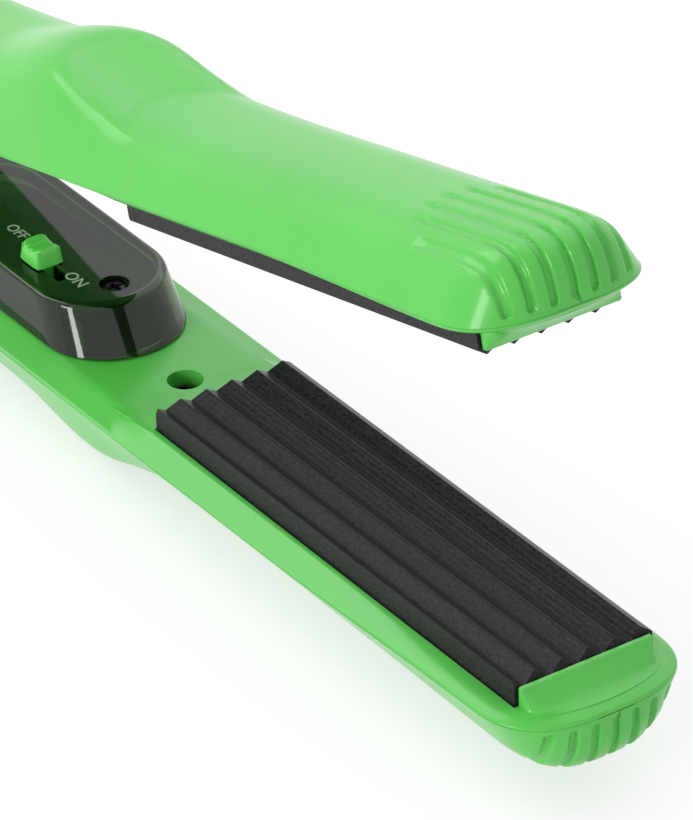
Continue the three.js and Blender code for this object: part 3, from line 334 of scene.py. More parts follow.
def spun(name, profile, centre, axis="z", segments=64, place=on_lower_arm, recess=None):
    """Circles of the profile's radius at its height, round an axis; recess takes height away."""
    radius, height = np.array(profile, dtype=float).T
    angle = np.linspace(0, 2 * math.pi, segments, endpoint=False)
    u = radius[:, None] * np.cos(angle)
    v = radius[:, None] * np.sin(angle)
    w = np.broadcast_to(height[:, None], u.shape).copy()
    if recess is not None:
        w -= recess(u, v, w)
    order = {"z": (u, v, w), "x": (w, u, v), "y": (v, w, u)}[axis]
    rings = np.stack(order, -1) + np.array(centre)
    if tuple(profile[0]) == tuple(profile[-1]):
        return ring_of_rings(name, place(rings[:-1]))
    return lofted(name, place(rings))


def block(low, high, place):
    """A plain box for cutting, between two corners of an arm frame."""
    (x0, y0, z0), (x1, y1, z1) = low, high
    ring = [(x0, y0), (x1, y0), (x1, y1), (x0, y1)]
    return lofted("cutter", place(np.array([[(x, y, z) for x, y in ring] for z in (z0, z1)])))


def drill(radius, start, end, place, segments=48):
    """A plain rod for cutting, along z or y between two points of an arm frame."""
    span = np.array(end, dtype=float) - np.array(start)
    axis = "xyz"[int(np.argmax(np.abs(span)))]
    profile = [(radius, 0), (radius, np.abs(span).max())]
    return spun("cutter", profile, np.minimum(start, end), axis, segments, place)


def combined(piece, tool, operation):
    """The piece with the closed tool taken away or joined on; the tool is used up."""
    change = piece.modifiers.new("change", "BOOLEAN")
    change.operation = operation
    change.solver = "MANIFOLD"
    change.object = tool
    depsgraph = bpy.context.evaluated_depsgraph_get()
    result = bpy.data.meshes.new_from_object(piece.evaluated_get(depsgraph))
    piece.modifiers.clear()
    old = piece.data
    piece.data = result
    bpy.data.meshes.remove(old)
    spent = tool.data
    bpy.data.objects.remove(tool)
    bpy.data.meshes.remove(spent)
    return piece


def cut(piece, *tools):
    """The piece less each tool in turn."""
    for tool in tools:
        combined(piece, tool, "DIFFERENCE")
    return piece


def joined(piece, *others):
    """The piece with each other one added in turn."""
    for other in others:
        combined(piece, other, "UNION")
    return piece


def finished(piece, node, body, material, crease=32):
    """Puts a piece in a node's place, smooth up to the crease angle, with its finish and body."""
    mesh = piece.data
    piece.name = mesh.name = node + "_skin"
    mesh.materials.clear()
    mesh.materials.append(material)
    mesh.polygons.foreach_set("material_index", np.zeros(len(mesh.polygons), dtype=np.int32))
    mesh.shade_smooth()
    mesh.set_sharp_from_angle(angle=math.radians(crease))
    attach(piece, body)
    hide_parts(node)


# ---------------------------------------------------------------- the arm's outer form
def through(knots, x):
    """A cubic through the knots with the mean slope of each knot's neighbours, level at both ends."""
    place, value = np.array(knots, dtype=float).T
    slope = np.zeros_like(value)
    slope[1:-1] = (value[2:] - value[:-2]) / (place[2:] - place[:-2])
    i = np.clip(np.searchsorted(place, x, side="right") - 1, 0, len(place) - 2)
    span = place[i + 1] - place[i]
    t = np.clip((x - place[i]) / span, 0, 1)
    h = t * t * (3 - 2 * t)
    rise = t * (1 - t) * ((1 - t) * slope[i] - t * slope[i + 1]) * span
    return value[i] * (1 - h) + value[i + 1] * h + rise


def rounded_end(x, start, end, power):
    """1 before the start, then down to 0 at the end along a superellipse: (1 - t^p)^(1/p)."""
    t = np.clip((x - start) / (end - start), 0, 1)
    return (1 - t ** power) ** (1 / power)


def half_width(x, rear):
    """The curve through the width knots, rounded off at the nose and a little at the rear end."""
    front = rounded_end(x, NOSE_FLANK[0], ARM_FRONT, NOSE_FLANK[1])
    back = rounded_end(-x, -rear - REAR_FLANK[0], -rear + REAR_PAST, REAR_FLANK[1])
    return through(WIDTH_KNOTS, x) * front * back


def outer_depth(x, rear):
    """The curve through the depth knots, rounded off towards the rim at the nose and the rear end."""
    front = rounded_end(x, NOSE_CROWN[0], ARM_FRONT, NOSE_CROWN[1])
    back = rounded_end(-x, -rear - REAR_CROWN[0], -rear + REAR_PAST, REAR_CROWN[1])
    return RIM + (through(DEPTH_KNOTS, x) - RIM) * front * back


def stations(rear, front, step):
    """Places along an arm, a step apart, and closer round both ends, so that each fall is even."""
    rear_round = rear + REAR_ROUND
    count = round(REAR_ROUND / step) + 8
    back = rear + (rear_round - rear) * (1 - np.cos(np.linspace(0, math.pi / 2, count)))
    middle = np.linspace(rear_round, front, round((front - rear_round) / step) + 1)
    share = np.linspace(1, 0, 3 * count)
    ahead = [start + (front - start) * (1 - share ** power) ** (1 / power)
             for start, power in (NOSE_FLANK, NOSE_CROWN)]
    x = np.unique(np.concatenate([back, middle, *ahead]))
    kept = [x[0]]
    for place in x[1:-1]:
        if place - kept[-1] >= max(0.0004, min(0.3, 0.06 * (front - place))):
            kept.append(place)
    return np.array(kept + [front])


def smooth(t):
    """0 to 1 with level ends: 3 t^2 - 2 t^3."""
    t = np.clip(t, 0, 1)
    return t * t * (3 - 2 * t)


def at_nose(x):
    """0 until NOSE_LIFT_RUN behind the plate's end, then smoothly to 1 at that end."""
    return smooth((x - (PLATE_FRONT - NOSE_LIFT_RUN)) / NOSE_LIFT_RUN)


def half_section(x, rear, inset, fineness):
    """Rim, straight side, a quadratic round, then the crown's parabola to the middle line."""
    width = half_width(x, rear)[:, None]
    depth = outer_depth(x, rear)[:, None] - inset
    drawn_in = np.maximum(width - inset, 0.02)
    corner_y, corner_h = width * CROWN_SHARE, depth - CROWN_ARCH
    side_length = np.hypot(drawn_in - corner_y, RIM - corner_h)
    share = np.minimum(ROUND_LIMIT, SECTION_ROUND / side_length)
    from_y, from_h = corner_y + (drawn_in - corner_y) * share, corner_h + (RIM - corner_h) * share
    to_y, to_h = corner_y * ROUND_END, depth - CROWN_ARCH * ARCH_SHARE
    along_side = np.linspace(0, 1, 3 + 5 * fineness)[None, :]
    low = RIM if inset else SKIN_RIM - NOSE_LIFT * at_nose(x)[:, None]
    side_y, side_h = drawn_in + (from_y - drawn_in) * along_side, low + (from_h - low) * along_side
    turn = np.linspace(0, 1, 2 + 12 * fineness)[None, 1:]
    round_y = (1 - turn) ** 2 * from_y + 2 * turn * (1 - turn) * corner_y + turn ** 2 * to_y
    round_h = (1 - turn) ** 2 * from_h + 2 * turn * (1 - turn) * corner_h + turn ** 2 * to_h
    along_crown = np.linspace(1, 0, 2 + 8 * fineness)[None, 1:]
    crown_y, crown_h = to_y * along_crown, depth - (depth - to_h) * along_crown ** 2
    y = np.concatenate([side_y, round_y, crown_y], 1)
    h = np.concatenate([side_h, round_h, crown_h], 1)
    if inset == 0:
        edge_y = np.maximum(drawn_in - np.array([RIM_EASE_IN]), 0.01)
        edge_h = low + np.array([RIM_EASE_UP]) + 0 * drawn_in
        y = np.concatenate([edge_y, y], 1)
        h = np.concatenate([edge_h, h], 1)
    sweep = HUMP_SWEEP * np.minimum(y / width / CROWN_SHARE, 1) ** 2
    middle = through(DEPTH_KNOTS, x)[:, None] - RIM
    local = through(DEPTH_KNOTS, x[:, None] - sweep) - RIM
    return y, RIM + (h - RIM) * local / middle


def form_grid(rear, inset, front, step, fineness):
    """The arm's outer form as rings across it: each half section and its mirror image."""
    x = stations(rear + inset, front, step)
    y, h = half_section(x, rear, inset, fineness)
    y = np.concatenate([y, -y[:, -2::-1]], 1)
    h = np.concatenate([h, h[:, -2::-1]], 1)
    return np.stack([np.broadcast_to(x[:, None], y.shape), y, -h], -1)


def grid_normals(grid):
    """Unit normals from the differences along and across the grid, straight ahead at the tip."""
    along = np.gradient(grid, axis=0)
    across = np.gradient(grid, axis=1)
    normal = np.cross(along, across)
    normal /= np.maximum(np.linalg.norm(normal, axis=-1, keepdims=True), 1e-9)
    outward = grid.copy()
    outward[..., 0] = np.clip(grid[..., 0] - ARM_FRONT + NOSE_LEAN, 0, None)
    normal *= np.sign(np.einsum("ijk,ijk->ij", normal, outward).sum())
    ahead = smooth((grid[..., :1] - ARM_FRONT + NOSE_TURN[0]) / NOSE_TURN[1])
    return normal * (1 - ahead) + np.array([1, 0, 0]) * ahead


def grip_depth(grid):
    """Depth of the grip grooves: channels a pitch apart, rounded behind and ended above the rim."""
    x, y, h = grid[..., 0], grid[..., 1], -grid[..., 2]
    most = (GRIP_COUNT - 1) / 2
    k = np.clip(np.round(y / GRIP_PITCH), -most, most)
    aside = np.abs(y - k * GRIP_PITCH)
    start = PLATE_FRONT - GRIP_LENGTH + GRIP_STAGGER * (k / most) ** 2 + GRIP_RADIUS
    behind = np.clip(start - x, 0, None)
    below = np.clip(SKIN_RIM - NOSE_LIFT + GRIP_FOOT + GRIP_RADIUS - h, 0, None) * (x > PLATE_FRONT)
    distance = np.sqrt(aside ** 2 + behind ** 2 + below ** 2)
    on_slope = smooth((x - (PLATE_FRONT - GRIP_BLEND[0])) / GRIP_BLEND[1])
    depth = GRIP_CROWN_DEPTH + (GRIP_SLOPE_DEPTH - GRIP_CROWN_DEPTH) * on_slope
    reach = GRIP_RADIUS * (1 - GRIP_NARROWING * on_slope)
    return depth * smooth((reach - distance) / (reach * GRIP_WALL))


def shell(side):
    """One outer shell: the form with its grooves, hollowed by the same form drawn in by the wall."""
    rear = -REAR_OVERHANG[side]
    place = PLACES[side]
    grid = form_grid(rear, 0, ARM_FRONT - 0.001, 1.2, 3)
    grid = grid - grid_normals(grid) * grip_depth(grid)[..., None]
    grid[..., 0] = np.minimum(grid[..., 0], ARM_FRONT - NOSE_TRIM)
    piece = lofted("shell", place(grid))
    hollow = form_grid(rear, WALL, ARM_FRONT - WALL - NOSE_SOLID, 4, 1)
    mouth = hollow[:, [0, -1]]
    mouth_rings = np.concatenate([mouth + [0, 0, 2], mouth[:, ::-1] + [0, 0, -0.3]], 1)
    cut(piece, lofted("hollow", place(hollow)), lofted("mouth", place(mouth_rings)))
    if side == "lower":
        inlet = [(INLET_RADIUS, 0), (INLET_RADIUS, 12)]
        cut(piece, spun("cutter", inlet, (rear - 3, 0, -GLAND_DEPTH), "x", 64, place))
        lowest = LOWER_ORIGIN[2]
        cut(piece, block((rear - 5, -BEYOND, -lowest - 10), (ARM_FRONT + 5, BEYOND, -lowest), place))
    for x in SCREW_PLACES:
        foot = -outer_depth(np.array([x]), rear)[0] + WALL / 2
        top = -SCREW_WELL_DEPTH - SEAT_THICKNESS - CLEARANCE
        joined(piece, drill(SCREW_SHANK / 2 + BOSS_WALL, (x, 0, foot), (x, 0, top), place, 24))
    return piece


# ---------------------------------------------------------------- inner covers
def outline(rear, inset, z):
    """The arm's plan outline, drawn in along its own normals, less at the rear end, at height z."""
    x = stations(rear, ARM_FRONT - NOSE_TRIM, 1.5)
    y = half_width(x, rear)
    dx, dy = np.gradient(x), np.gradient(y)
    length = np.hypot(dx, dy)
    depth = inset * (REAR_INSET + (1 - REAR_INSET) * smooth((x - rear) / REAR_INSET_RUN))
    moved_x = np.minimum(x + dy / length * depth, ARM_FRONT - NOSE_TRIM - inset)
    moved_y = np.maximum(y - dx / length * depth, 0.05)
    ring_x = np.concatenate([moved_x, moved_x[::-1]])
    ring_y = np.concatenate([moved_y, -moved_y[::-1]])
    return np.stack([ring_x, ring_y, np.full_like(ring_x, z)], -1)


# each profile is a list of (distance in from the outline, height), from the rim inwards
SLOPE = [
    (0, -1.82), (0.05, -1.77), (0.18, -1.7), (0.4, -1.61), (1.2, -1.37), (2.4, -0.98),
    (3.6, -0.56), (4.4, -0.27), (4.9, -0.12), (5.3, -0.03), (SHOULDER_WIDTH, 0), (6.2, 0),
]
SLOPE_AT_NOSE = [
    (0, -0.36), (0.05, -0.24), (0.18, -0.08), (0.4, 0.1), (0.8, 0.22), (4.4, 0.22), (5.3, 0), (6.2, 0),
]
BORDER = [
    (0.06, -1.8), (0.4, -1.53), (1.9, -0.36), (2.9, 0.42), (3.2, 0.66), (3.45, 0.83), (3.75, 0.95),
    (4.05, BORDER_HEIGHT), (4.8, BORDER_HEIGHT),
]
BORDER_REAR = [
    (0.06, -1.85), (0.4, -1.7), (1.2, -1.5), (2.4, -1.1), (3.75, -0.6),
    (4.05, BORDER_HEIGHT), (4.8, BORDER_HEIGHT),
]
BORDER_AT_NOSE = [
    (0.06, -0.26), (0.18, -0.09), (0.4, 0.09), (0.7, 0.24), (0.9, 0.34), (1.3, 0.52), (1.9, 0.73),
    (2.6, 0.91), (3.2, 0.97), (4.05, BORDER_HEIGHT), (4.8, BORDER_HEIGHT),
]


def sloping_rings(rear, behind, beside, before):
    """Outlines drawn in step by step, with heights blended from the profiles of the three stretches."""
    rings = []
    for inset in sorted({i for i, _ in beside + before}):
        ring = outline(rear, inset, 0.0)
        back, side, nose = (np.interp(inset, *np.array(knots).T) for knots in (behind, beside, before))
        along = smooth((ring[:, 0] - PLATE_REAR + BORDER_RUN) / BORDER_RUN)
        ring[:, 2] = back + (side - back) * along + (nose - side) * at_nose(ring[:, 0])
        rings.append(ring)
    return rings


def cover_form(rear, place):
    """The cover's foot, which rises round the nose with the shell's edge, and its slope."""
    foot = []
    for inset, z in ((0.12, -2.0), (0.02, -1.97)):
        ring = outline(rear, inset, z)
        ring[:, 2] += NOSE_LIFT * at_nose(ring[:, 0])
        foot.append(ring)
    return lofted("cover", place(np.array(foot + sloping_rings(rear, SLOPE, SLOPE, SLOPE_AT_NOSE))))


def raised_border(rear, place):
    """The slope beside the plate and round its tip, with a slope of its own behind the plate."""
    form = lofted("border", place(np.array(sloping_rings(rear, BORDER_REAR, BORDER, BORDER_AT_NOSE))))
    low, high = -SHOULDER_DROP - 0.3, BORDER_HEIGHT + 0.5
    rise = (high - BORDER_START) / (BORDER_HEIGHT - BORDER_START)
    start, end = PLATE_REAR - BORDER_RUN, ARM_FRONT + 5
    climbed = start + BORDER_RUN * rise
    side = np.array([(start, low), (end, low), (end, high), (climbed, high), (start, BORDER_START)])
    rings = [np.stack([side[:, 0], np.full(5, y), side[:, 1]], -1) for y in (-BEYOND, BEYOND)]
    return combined(form, lofted("limits", place(np.array(rings))), "INTERSECT")


def end_block(place):
    """The block before the plate: a D-shaped foot that thins upwards to a straight bar."""
    start = PLATE_FRONT + CLEARANCE
    reach = ARM_FRONT - BLOCK_INSET - CLEARANCE - start
    half = PLATE_WIDTH / 2 - BLOCK_SET_IN
    angle = np.linspace(-math.pi / 2, math.pi / 2, 61)
    foot_x, foot_y = reach * np.cos(angle) ** BLOCK_BLUNTNESS, half * np.sin(angle)
    top = np.minimum(foot_x, BLOCK_TOP_LENGTH)
    lip = BORDER_HEIGHT - 0.1
    upper = np.linspace(lip, BLOCK_HEIGHT - BLOCK_EDGE, 26)
    rings = []
    for z in [-1.0, 0.2, 0.7, *upper, BLOCK_HEIGHT - 0.1, BLOCK_HEIGHT]:
        taper = np.clip((BLOCK_HEIGHT - z) / (BLOCK_HEIGHT - lip), 0, 1) ** BLOCK_TAPER
        share = taper + BLOCK_FLARE * math.exp(-max(z - lip, 0) / BLOCK_FLARE_HEIGHT)
        x = start + top + (foot_x - top) * share
        trim = max(0.0, (z - BLOCK_HEIGHT + BLOCK_EDGE)) / BLOCK_EDGE * BLOCK_EDGE_TRIM
        x = np.maximum(x - trim * (foot_x > 0.5), start)
        rings.append(np.stack([x, foot_y * (1 - trim / half), np.full_like(x, z)], -1))
    return lofted("block", place(np.array(rings)))


def lug(foot_share, radius, y0, y1, height, foot, place):
    """A rounded lug round the hinge pin: an arc over a straight foot, with its two edges eased."""
    angle = np.linspace(0, math.pi, 41)
    easing = ((0, 0.4), (0.12, 0.12), (0.4, 0))
    slices = [(y0 + along, inset) for along, inset in easing]
    slices += [(y1 - along, inset) for along, inset in easing[::-1]]
    rings = []
    for y, inset in slices:
        r = radius - inset
        arc_x, arc_z = r * np.cos(angle), height + r * np.sin(angle)
        x = np.concatenate([[foot_share * r], arc_x, [-foot_share * r]])
        z = np.concatenate([[foot], arc_z, [foot]])
        rings.append(np.stack([x, np.full_like(x, y), z], -1))
    return lofted("lug", place(np.array(rings)))


def inner_cover(side):
    """A cover plate over the whole arm, with the end block, its screw wells and the plate's opening."""
    rear = -REAR_OVERHANG[side]
    place = PLACES[side]
    piece = cover_form(rear, place)
    joined(piece, raised_border(rear, place), end_block(place))
    opening = PLATE_WIDTH / 2 + CLEARANCE
    start, end = PLATE_REAR - CLEARANCE, PLATE_FRONT + CLEARANCE
    cut(piece, block((start, -opening, -10), (end, opening, 10), place))
    seat = -SCREW_WELL_DEPTH
    column = SCREW_WELL / 2 + BOSS_WALL
    for x in SCREW_PLACES:
        joined(piece, drill(column, (x, 0, seat - SEAT_THICKNESS), (x, 0, -0.5), place))
        cut(piece, drill(SCREW_WELL / 2, (x, 0, seat), (x, 0, 5), place))
        cut(piece, drill(SCREW_SHANK / 2 + CLEARANCE, (x, 0, seat - 3), (x, 0, 0), place))
    cut(piece, drill(SPRING_OUTER, (SPRING_PLACE, 0, -1), (SPRING_PLACE, 0, 5), place))
    return piece


def lower_cover():
    """The lower cover has two hinge ears, a slot for the knuckle and a window under the switch cover."""
    place = on_lower_arm
    piece = inner_cover("lower")
    slot = KNUCKLE_RADIUS + KNUCKLE_ROOM
    cut(piece, block((-slot, -EAR_INNER, -6), (slot, EAR_INNER, 6), place))
    cut(piece, block((WINDOW_REAR, -WINDOW_HALF, -6), (WINDOW_FRONT, WINDOW_HALF, 6), place))
    column = SMALL_SHANK / 2 + BOSS_WALL
    joined(piece, drill(column, (SMALL_PLACE, 0, -6), (SMALL_PLACE, 0, -0.5), place))
    cut(piece, drill(SMALL_SHANK / 2 + CLEARANCE, (SMALL_PLACE, 0, -9), (SMALL_PLACE, 0, 5), place))
    foot = PIN_HEIGHT - EAR_FOOT_DROP
    bore = PIN_RADIUS + RUNNING_GAP / 2
    for start in (-EAR_INNER - EAR_THICKNESS, EAR_INNER):
        end = start + EAR_THICKNESS
        joined(piece, lug(1.0, EAR_RADIUS, start, end, PIN_HEIGHT, foot, place))
        cut(piece, drill(bore, (0, start - 1, PIN_HEIGHT), (0, end + 1, PIN_HEIGHT), place))
    return piece


def upper_cover():
    """The upper cover has the hinge knuckle and a pocket for the knob of the switch."""
    place = on_upper_arm
    piece = inner_cover("upper")
    joined(piece, lug(0.8, KNUCKLE_RADIUS, -KNUCKLE_HALF, KNUCKLE_HALF, UPPER_OFFSET, -1, place))
    bore = PIN_RADIUS + RUNNING_GAP / 2
    cut(piece, drill(bore, (0, -BEYOND, UPPER_OFFSET), (0, BEYOND, UPPER_OFFSET), place))
    x0 = KNOB_PLACE - KNOB_LENGTH / 2 - POCKET_MARGIN
    x1 = KNOB_PLACE + KNOB_LENGTH / 2 + KNOB_TRAVEL + POCKET_MARGIN
    y0 = KNOB_OFFSET - KNOB_WIDTH / 2 - POCKET_MARGIN
    y1 = KNOB_OFFSET + KNOB_WIDTH / 2 + POCKET_MARGIN
    low = (x0 - BOSS_WALL, y0 - BOSS_WALL, -POCKET_DEPTH - BOSS_WALL)
    joined(piece, block(low, (x1 + BOSS_WALL, y1 + BOSS_WALL, -0.5), place))
    return cut(piece, block((x0, y0, -POCKET_DEPTH), (x1, y1, 5), place))


# ---------------------------------------------------------------- plates
def ridge(y):
    """A zigzag with eased corners: sin p - sin 3p / 9 + sin 5p / 25, scaled to the ridge depth."""
    phase = 2 * math.pi * y / RIDGE_PITCH
    wave = np.sin(phase) - np.sin(3 * phase) / 9 + np.sin(5 * phase) / 25
    return wave / (1 + 1 / 9 + 1 / 25) * RIDGE_DEPTH / 2


def plate(side):
    """The corrugated section drawn along the arm, its ridges run out over a short slope at each end."""
    half = PLATE_WIDTH / 2
    y = np.linspace(half, -half, 253)
    top = PLATE_STANDOFF - RIDGE_DEPTH / 2 + ridge(y)
    foot = half + PLATE_FLANGE
    valley = PLATE_STANDOFF - RIDGE_DEPTH
    roof = valley - CHANNEL_ROOF
    under = -RIM - FLANGE_THICKNESS
    below = [(-half, -RIM), (-foot, -RIM), (-foot, under), (-CHANNEL_HALF, under), (-CHANNEL_HALF, roof)]
    below += [(-across, height) for across, height in below[::-1]]
    section_y = np.concatenate([y, [p[0] for p in below]])
    share = np.concatenate([[0, 0.03], np.linspace(0.1, 1, 10), [1.08]])
    limit = valley + RIDGE_DEPTH * share - 0.15 * (1 - share / 0.1).clip(0)
    x = np.concatenate([PLATE_REAR + REAR_CHAMFER * share, PLATE_FRONT - TIP_CHAMFER * share[::-1]])
    limits = np.concatenate([limit, limit[::-1]])
    rings = []
    for place_x, highest in zip(x, limits):
        section_z = np.concatenate([np.minimum(top, highest), [p[1] for p in below]])
        rings.append(np.stack([np.full_like(section_y, place_x), section_y, section_z], -1))
    return lofted("plate", PLACES[side](np.array(rings)))


# ---------------------------------------------------------------- hinge, screws and gland
def hinge_pin(direction):
    """A turned pin with eased ends and a shallow dimple in its outer face."""
    length = EAR_INNER + EAR_THICKNESS - PIN_INNER_END
    profile = [
        (PIN_RADIUS - PIN_EASE, 0),
        (PIN_RADIUS, PIN_EASE),
        (PIN_RADIUS, length - PIN_EASE),
        (PIN_RADIUS - 0.15, length - 0.15),
        (PIN_RADIUS - PIN_EASE, length),
        (1.3, length),
        (0.7, length - 0.4),
        (0.2, length - 0.5),
    ]
    profile = [(r, direction * (PIN_INNER_END + h)) for r, h in profile]
    return spun("pin", profile, (0, 0, PIN_HEIGHT), "y")


def hinge_washer(direction):
    """A thin ring of rectangular section with eased corners."""
    inner, outer = PIN_RADIUS + CLEARANCE, PIN_RADIUS + WASHER_BAND
    near = KNUCKLE_HALF + RUNNING_GAP
    far = near + WASHER
    ease = 0.1
    profile = [
        (inner, near + ease),
        (inner + ease, near),
        (outer - ease, near),
        (outer, near + ease),
        (outer, far - ease),
        (outer - ease, far),
        (inner + ease, far),
        (inner, far - ease),
        (inner, near + ease),
    ]
    return spun("washer", [(r, direction * h) for r, h in profile], (0, 0, PIN_HEIGHT), "y")


def cord_gland():
    """A turned sleeve with a rounded flange, bored for the lead."""
    rear = -REAR_OVERHANG["lower"] - CLEARANCE
    flange = rear - GLAND_FLANGE_THICKNESS
    end = rear + GLAND_LENGTH
    profile = [
        (GLAND_BORE + 0.4, flange),
        (GLAND_FLANGE - 0.5, flange),
        (GLAND_FLANGE - 0.15, flange + 0.15),
        (GLAND_FLANGE, flange + 0.5),
        (GLAND_FLANGE, rear - 0.2),
        (GLAND_FLANGE - 0.2, rear),
        (GLAND_RADIUS, rear),
        (GLAND_RADIUS, end - 0.4),
        (GLAND_RADIUS - 0.4, end),
        (GLAND_BORE, end),
        (GLAND_BORE, flange + 0.4),
        (GLAND_BORE + 0.12, flange + 0.12),
        (GLAND_BORE + 0.4, flange),
    ]
    return spun("gland", profile, (0, 0, -GLAND_DEPTH), "x", 72)


def cross_recess(arm, slot, depth):
    """A cross-shaped recess with sloping walls, as deep as the nearer of its two arms makes it."""
    def taken(u, v, w):
        """Depth at (u, v): smooth in the distance from the cross's edge, near the top of w only."""
        along = np.maximum(np.abs(u) - arm, np.abs(v) - slot)
        across = np.maximum(np.abs(v) - arm, np.abs(u) - slot)
        return depth * smooth(-np.minimum(along, across) / 0.35 + 0.5) * (w > w.max() - 0.8)
    return taken


def screw(x, y, top, head, shank, length, place):
    """A pan-head screw: domed head, cross recess, shank with a drawn-in point."""
    radius = head / 2
    height = head * HEAD_SHARE
    dome = [(radius * s, -height * 0.35 * s ** 3) for s in np.linspace(0.04, 1, 26)]
    point = -height - length
    profile = [
        (0.15, point),
        (shank * 0.25, point),
        (shank / 2, point + 1.4),
        (shank / 2, -height),
        (radius - 0.15, -height),
        (radius, -height + 0.15),
        *dome[::-1],
    ]
    recess = cross_recess(head * RECESS_ARM, head * RECESS_SLOT, height * RECESS_DEPTH)
    return spun("screw", profile, (x, y, top), "z", 96, place, recess)


# ---------------------------------------------------------------- switch
def stadium(inset, z):
    """Two half circles joined by straight sides, drawn in; the higher it is, the further back its front."""
    radius = SWITCH_WIDTH / 2 - inset
    angle = np.linspace(-math.pi / 2, math.pi / 2, 49)
    front = SWITCH_FRONT - SWITCH_SLOPE * max(z, 0) / SWITCH_HEIGHT
    front_x = front - SWITCH_WIDTH / 2 + radius * np.cos(angle)
    back_x = SWITCH_REAR + SWITCH_WIDTH / 2 - radius * np.cos(angle)
    x = np.concatenate([front_x, back_x])
    y = np.concatenate([radius * np.sin(angle), -radius * np.sin(angle)])
    return np.stack([x, y, np.full_like(x, z)], -1)


def switch_cover():
    """A hollow drafted cap with a rounded top edge, a screw column and the knob's track."""
    place = on_lower_arm
    x = SMALL_PLACE
    top = SWITCH_HEIGHT
    knee = top - SWITCH_FILLET
    drawn_in = SWITCH_DRAFT * 0.85
    levels = [(0.12, CLEARANCE), (0, CLEARANCE + 0.15), (drawn_in, knee)]
    for a in np.linspace(0.12, math.pi / 2, 12):
        rounded_in = (SWITCH_FILLET + 0.135) * (1 - math.cos(a))
        levels.append((drawn_in + rounded_in, knee + SWITCH_FILLET * math.sin(a)))
    inset, z = levels[-1]
    levels += [(inset + 0.3, z), (inset + 0.6, z)]
    piece = lofted("switch cover", place(np.array([stadium(i, h) for i, h in levels])))
    ceiling = top - SWITCH_WALL
    inner = [
        (SWITCH_WALL, -1),
        (SWITCH_WALL + drawn_in, ceiling - 0.8),
        (SWITCH_WALL + SWITCH_DRAFT + 0.1, ceiling - 0.25),
        (SWITCH_WALL + SWITCH_DRAFT + 0.8, ceiling),
    ]
    cut(piece, lofted("hollow", place(np.array([stadium(i, h) for i, h in inner]))))
    joined(piece, drill(SMALL_HEAD / 2 + BOSS_WALL, (x, 0, CLEARANCE), (x, 0, top - 0.5), place))
    cut(piece, drill(SMALL_HEAD / 2 + CLEARANCE, (x, 0, top - SWITCH_WELL), (x, 0, top + 1), place))
    cut(piece, drill(SMALL_SHANK / 2 + CLEARANCE, (x, 0, -1), (x, 0, top), place))
    start = KNOB_PLACE - KNOB_LENGTH / 2 - TRACK_END
    end = KNOB_PLACE + KNOB_LENGTH / 2 + KNOB_TRAVEL + TRACK_END
    near, far = -KNOB_OFFSET - TRACK_WIDTH / 2, -KNOB_OFFSET + TRACK_WIDTH / 2
    return cut(piece, block((start, near, top - 3), (end, far, top + 1), place))


def switch_knob():
    """A thumb piece: a dished, ribbed top on a grid, then its rim widened down to a waist and a foot.

    The dish is 1 - u^2, the ribs a cosine of u, and the edge falls as the fifth power near the rim.
    """
    base = SWITCH_HEIGHT + CLEARANCE
    centre = np.array([KNOB_PLACE, -KNOB_OFFSET, 0])
    u, v = np.meshgrid(np.linspace(-1, 1, 61), np.linspace(-1, 1, 49), indexing="ij")
    edge = np.minimum(1, np.abs(u) ** 5 + np.abs(v) ** 5) ** 0.5
    dish = KNOB_DISH * (1 - u ** 2) * smooth((1 - np.abs(u)) * 4)
    ribs = KNOB_RIB * np.cos(u * math.pi * 5)
    ribs = ribs * smooth((0.72 - np.abs(u)) * 6) * smooth((0.82 - np.abs(v)) * 6)
    height = base + KNOB_HEIGHT - dish + ribs - KNOB_EDGE * edge ** 5
    along = KNOB_LEAN[0] * u * (1 - 0.09 * v ** 4) * KNOB_LENGTH / 2
    across = KNOB_LEAN[1] * v * (1 - 0.09 * u ** 4) * KNOB_WIDTH / 2
    top = centre + np.stack([along, across, height], -1)

    number = np.arange(u.size).reshape(u.shape)
    rim = np.concatenate([number[:-1, 0], number[-1, :-1], number[:0:-1, -1], number[0, :0:-1]])
    edge_points = top.reshape(-1, 3)[rim]
    foot = centre + (edge_points - centre) / [*KNOB_LEAN, 1]
    foot[:, 2] = base
    waist = foot * 0.4 + edge_points * 0.6
    waist[:, 2] = base + 1.5
    waist_number = u.size + np.arange(len(rim))
    foot_number = waist_number + len(rim)
    faces = strip_faces(*u.shape, around=False)
    for upper, lower in ((rim, waist_number), (waist_number, foot_number)):
        faces += np.stack([upper, np.roll(upper, -1), np.roll(lower, -1), lower], -1).tolist()
    faces.append(foot_number.tolist())
    cap = built("knob", on_lower_arm(np.concatenate([top.reshape(-1, 3), waist, foot])), faces)

    stem = np.array([KNOB_LENGTH / 2 - 1.2, TRACK_WIDTH / 2 - RUNNING_GAP, 0])
    low, high = centre - stem, centre + stem
    low[2], high[2] = STEM_FOOT, base + 0.5
    return joined(cap, block(low, high, on_lower_arm))


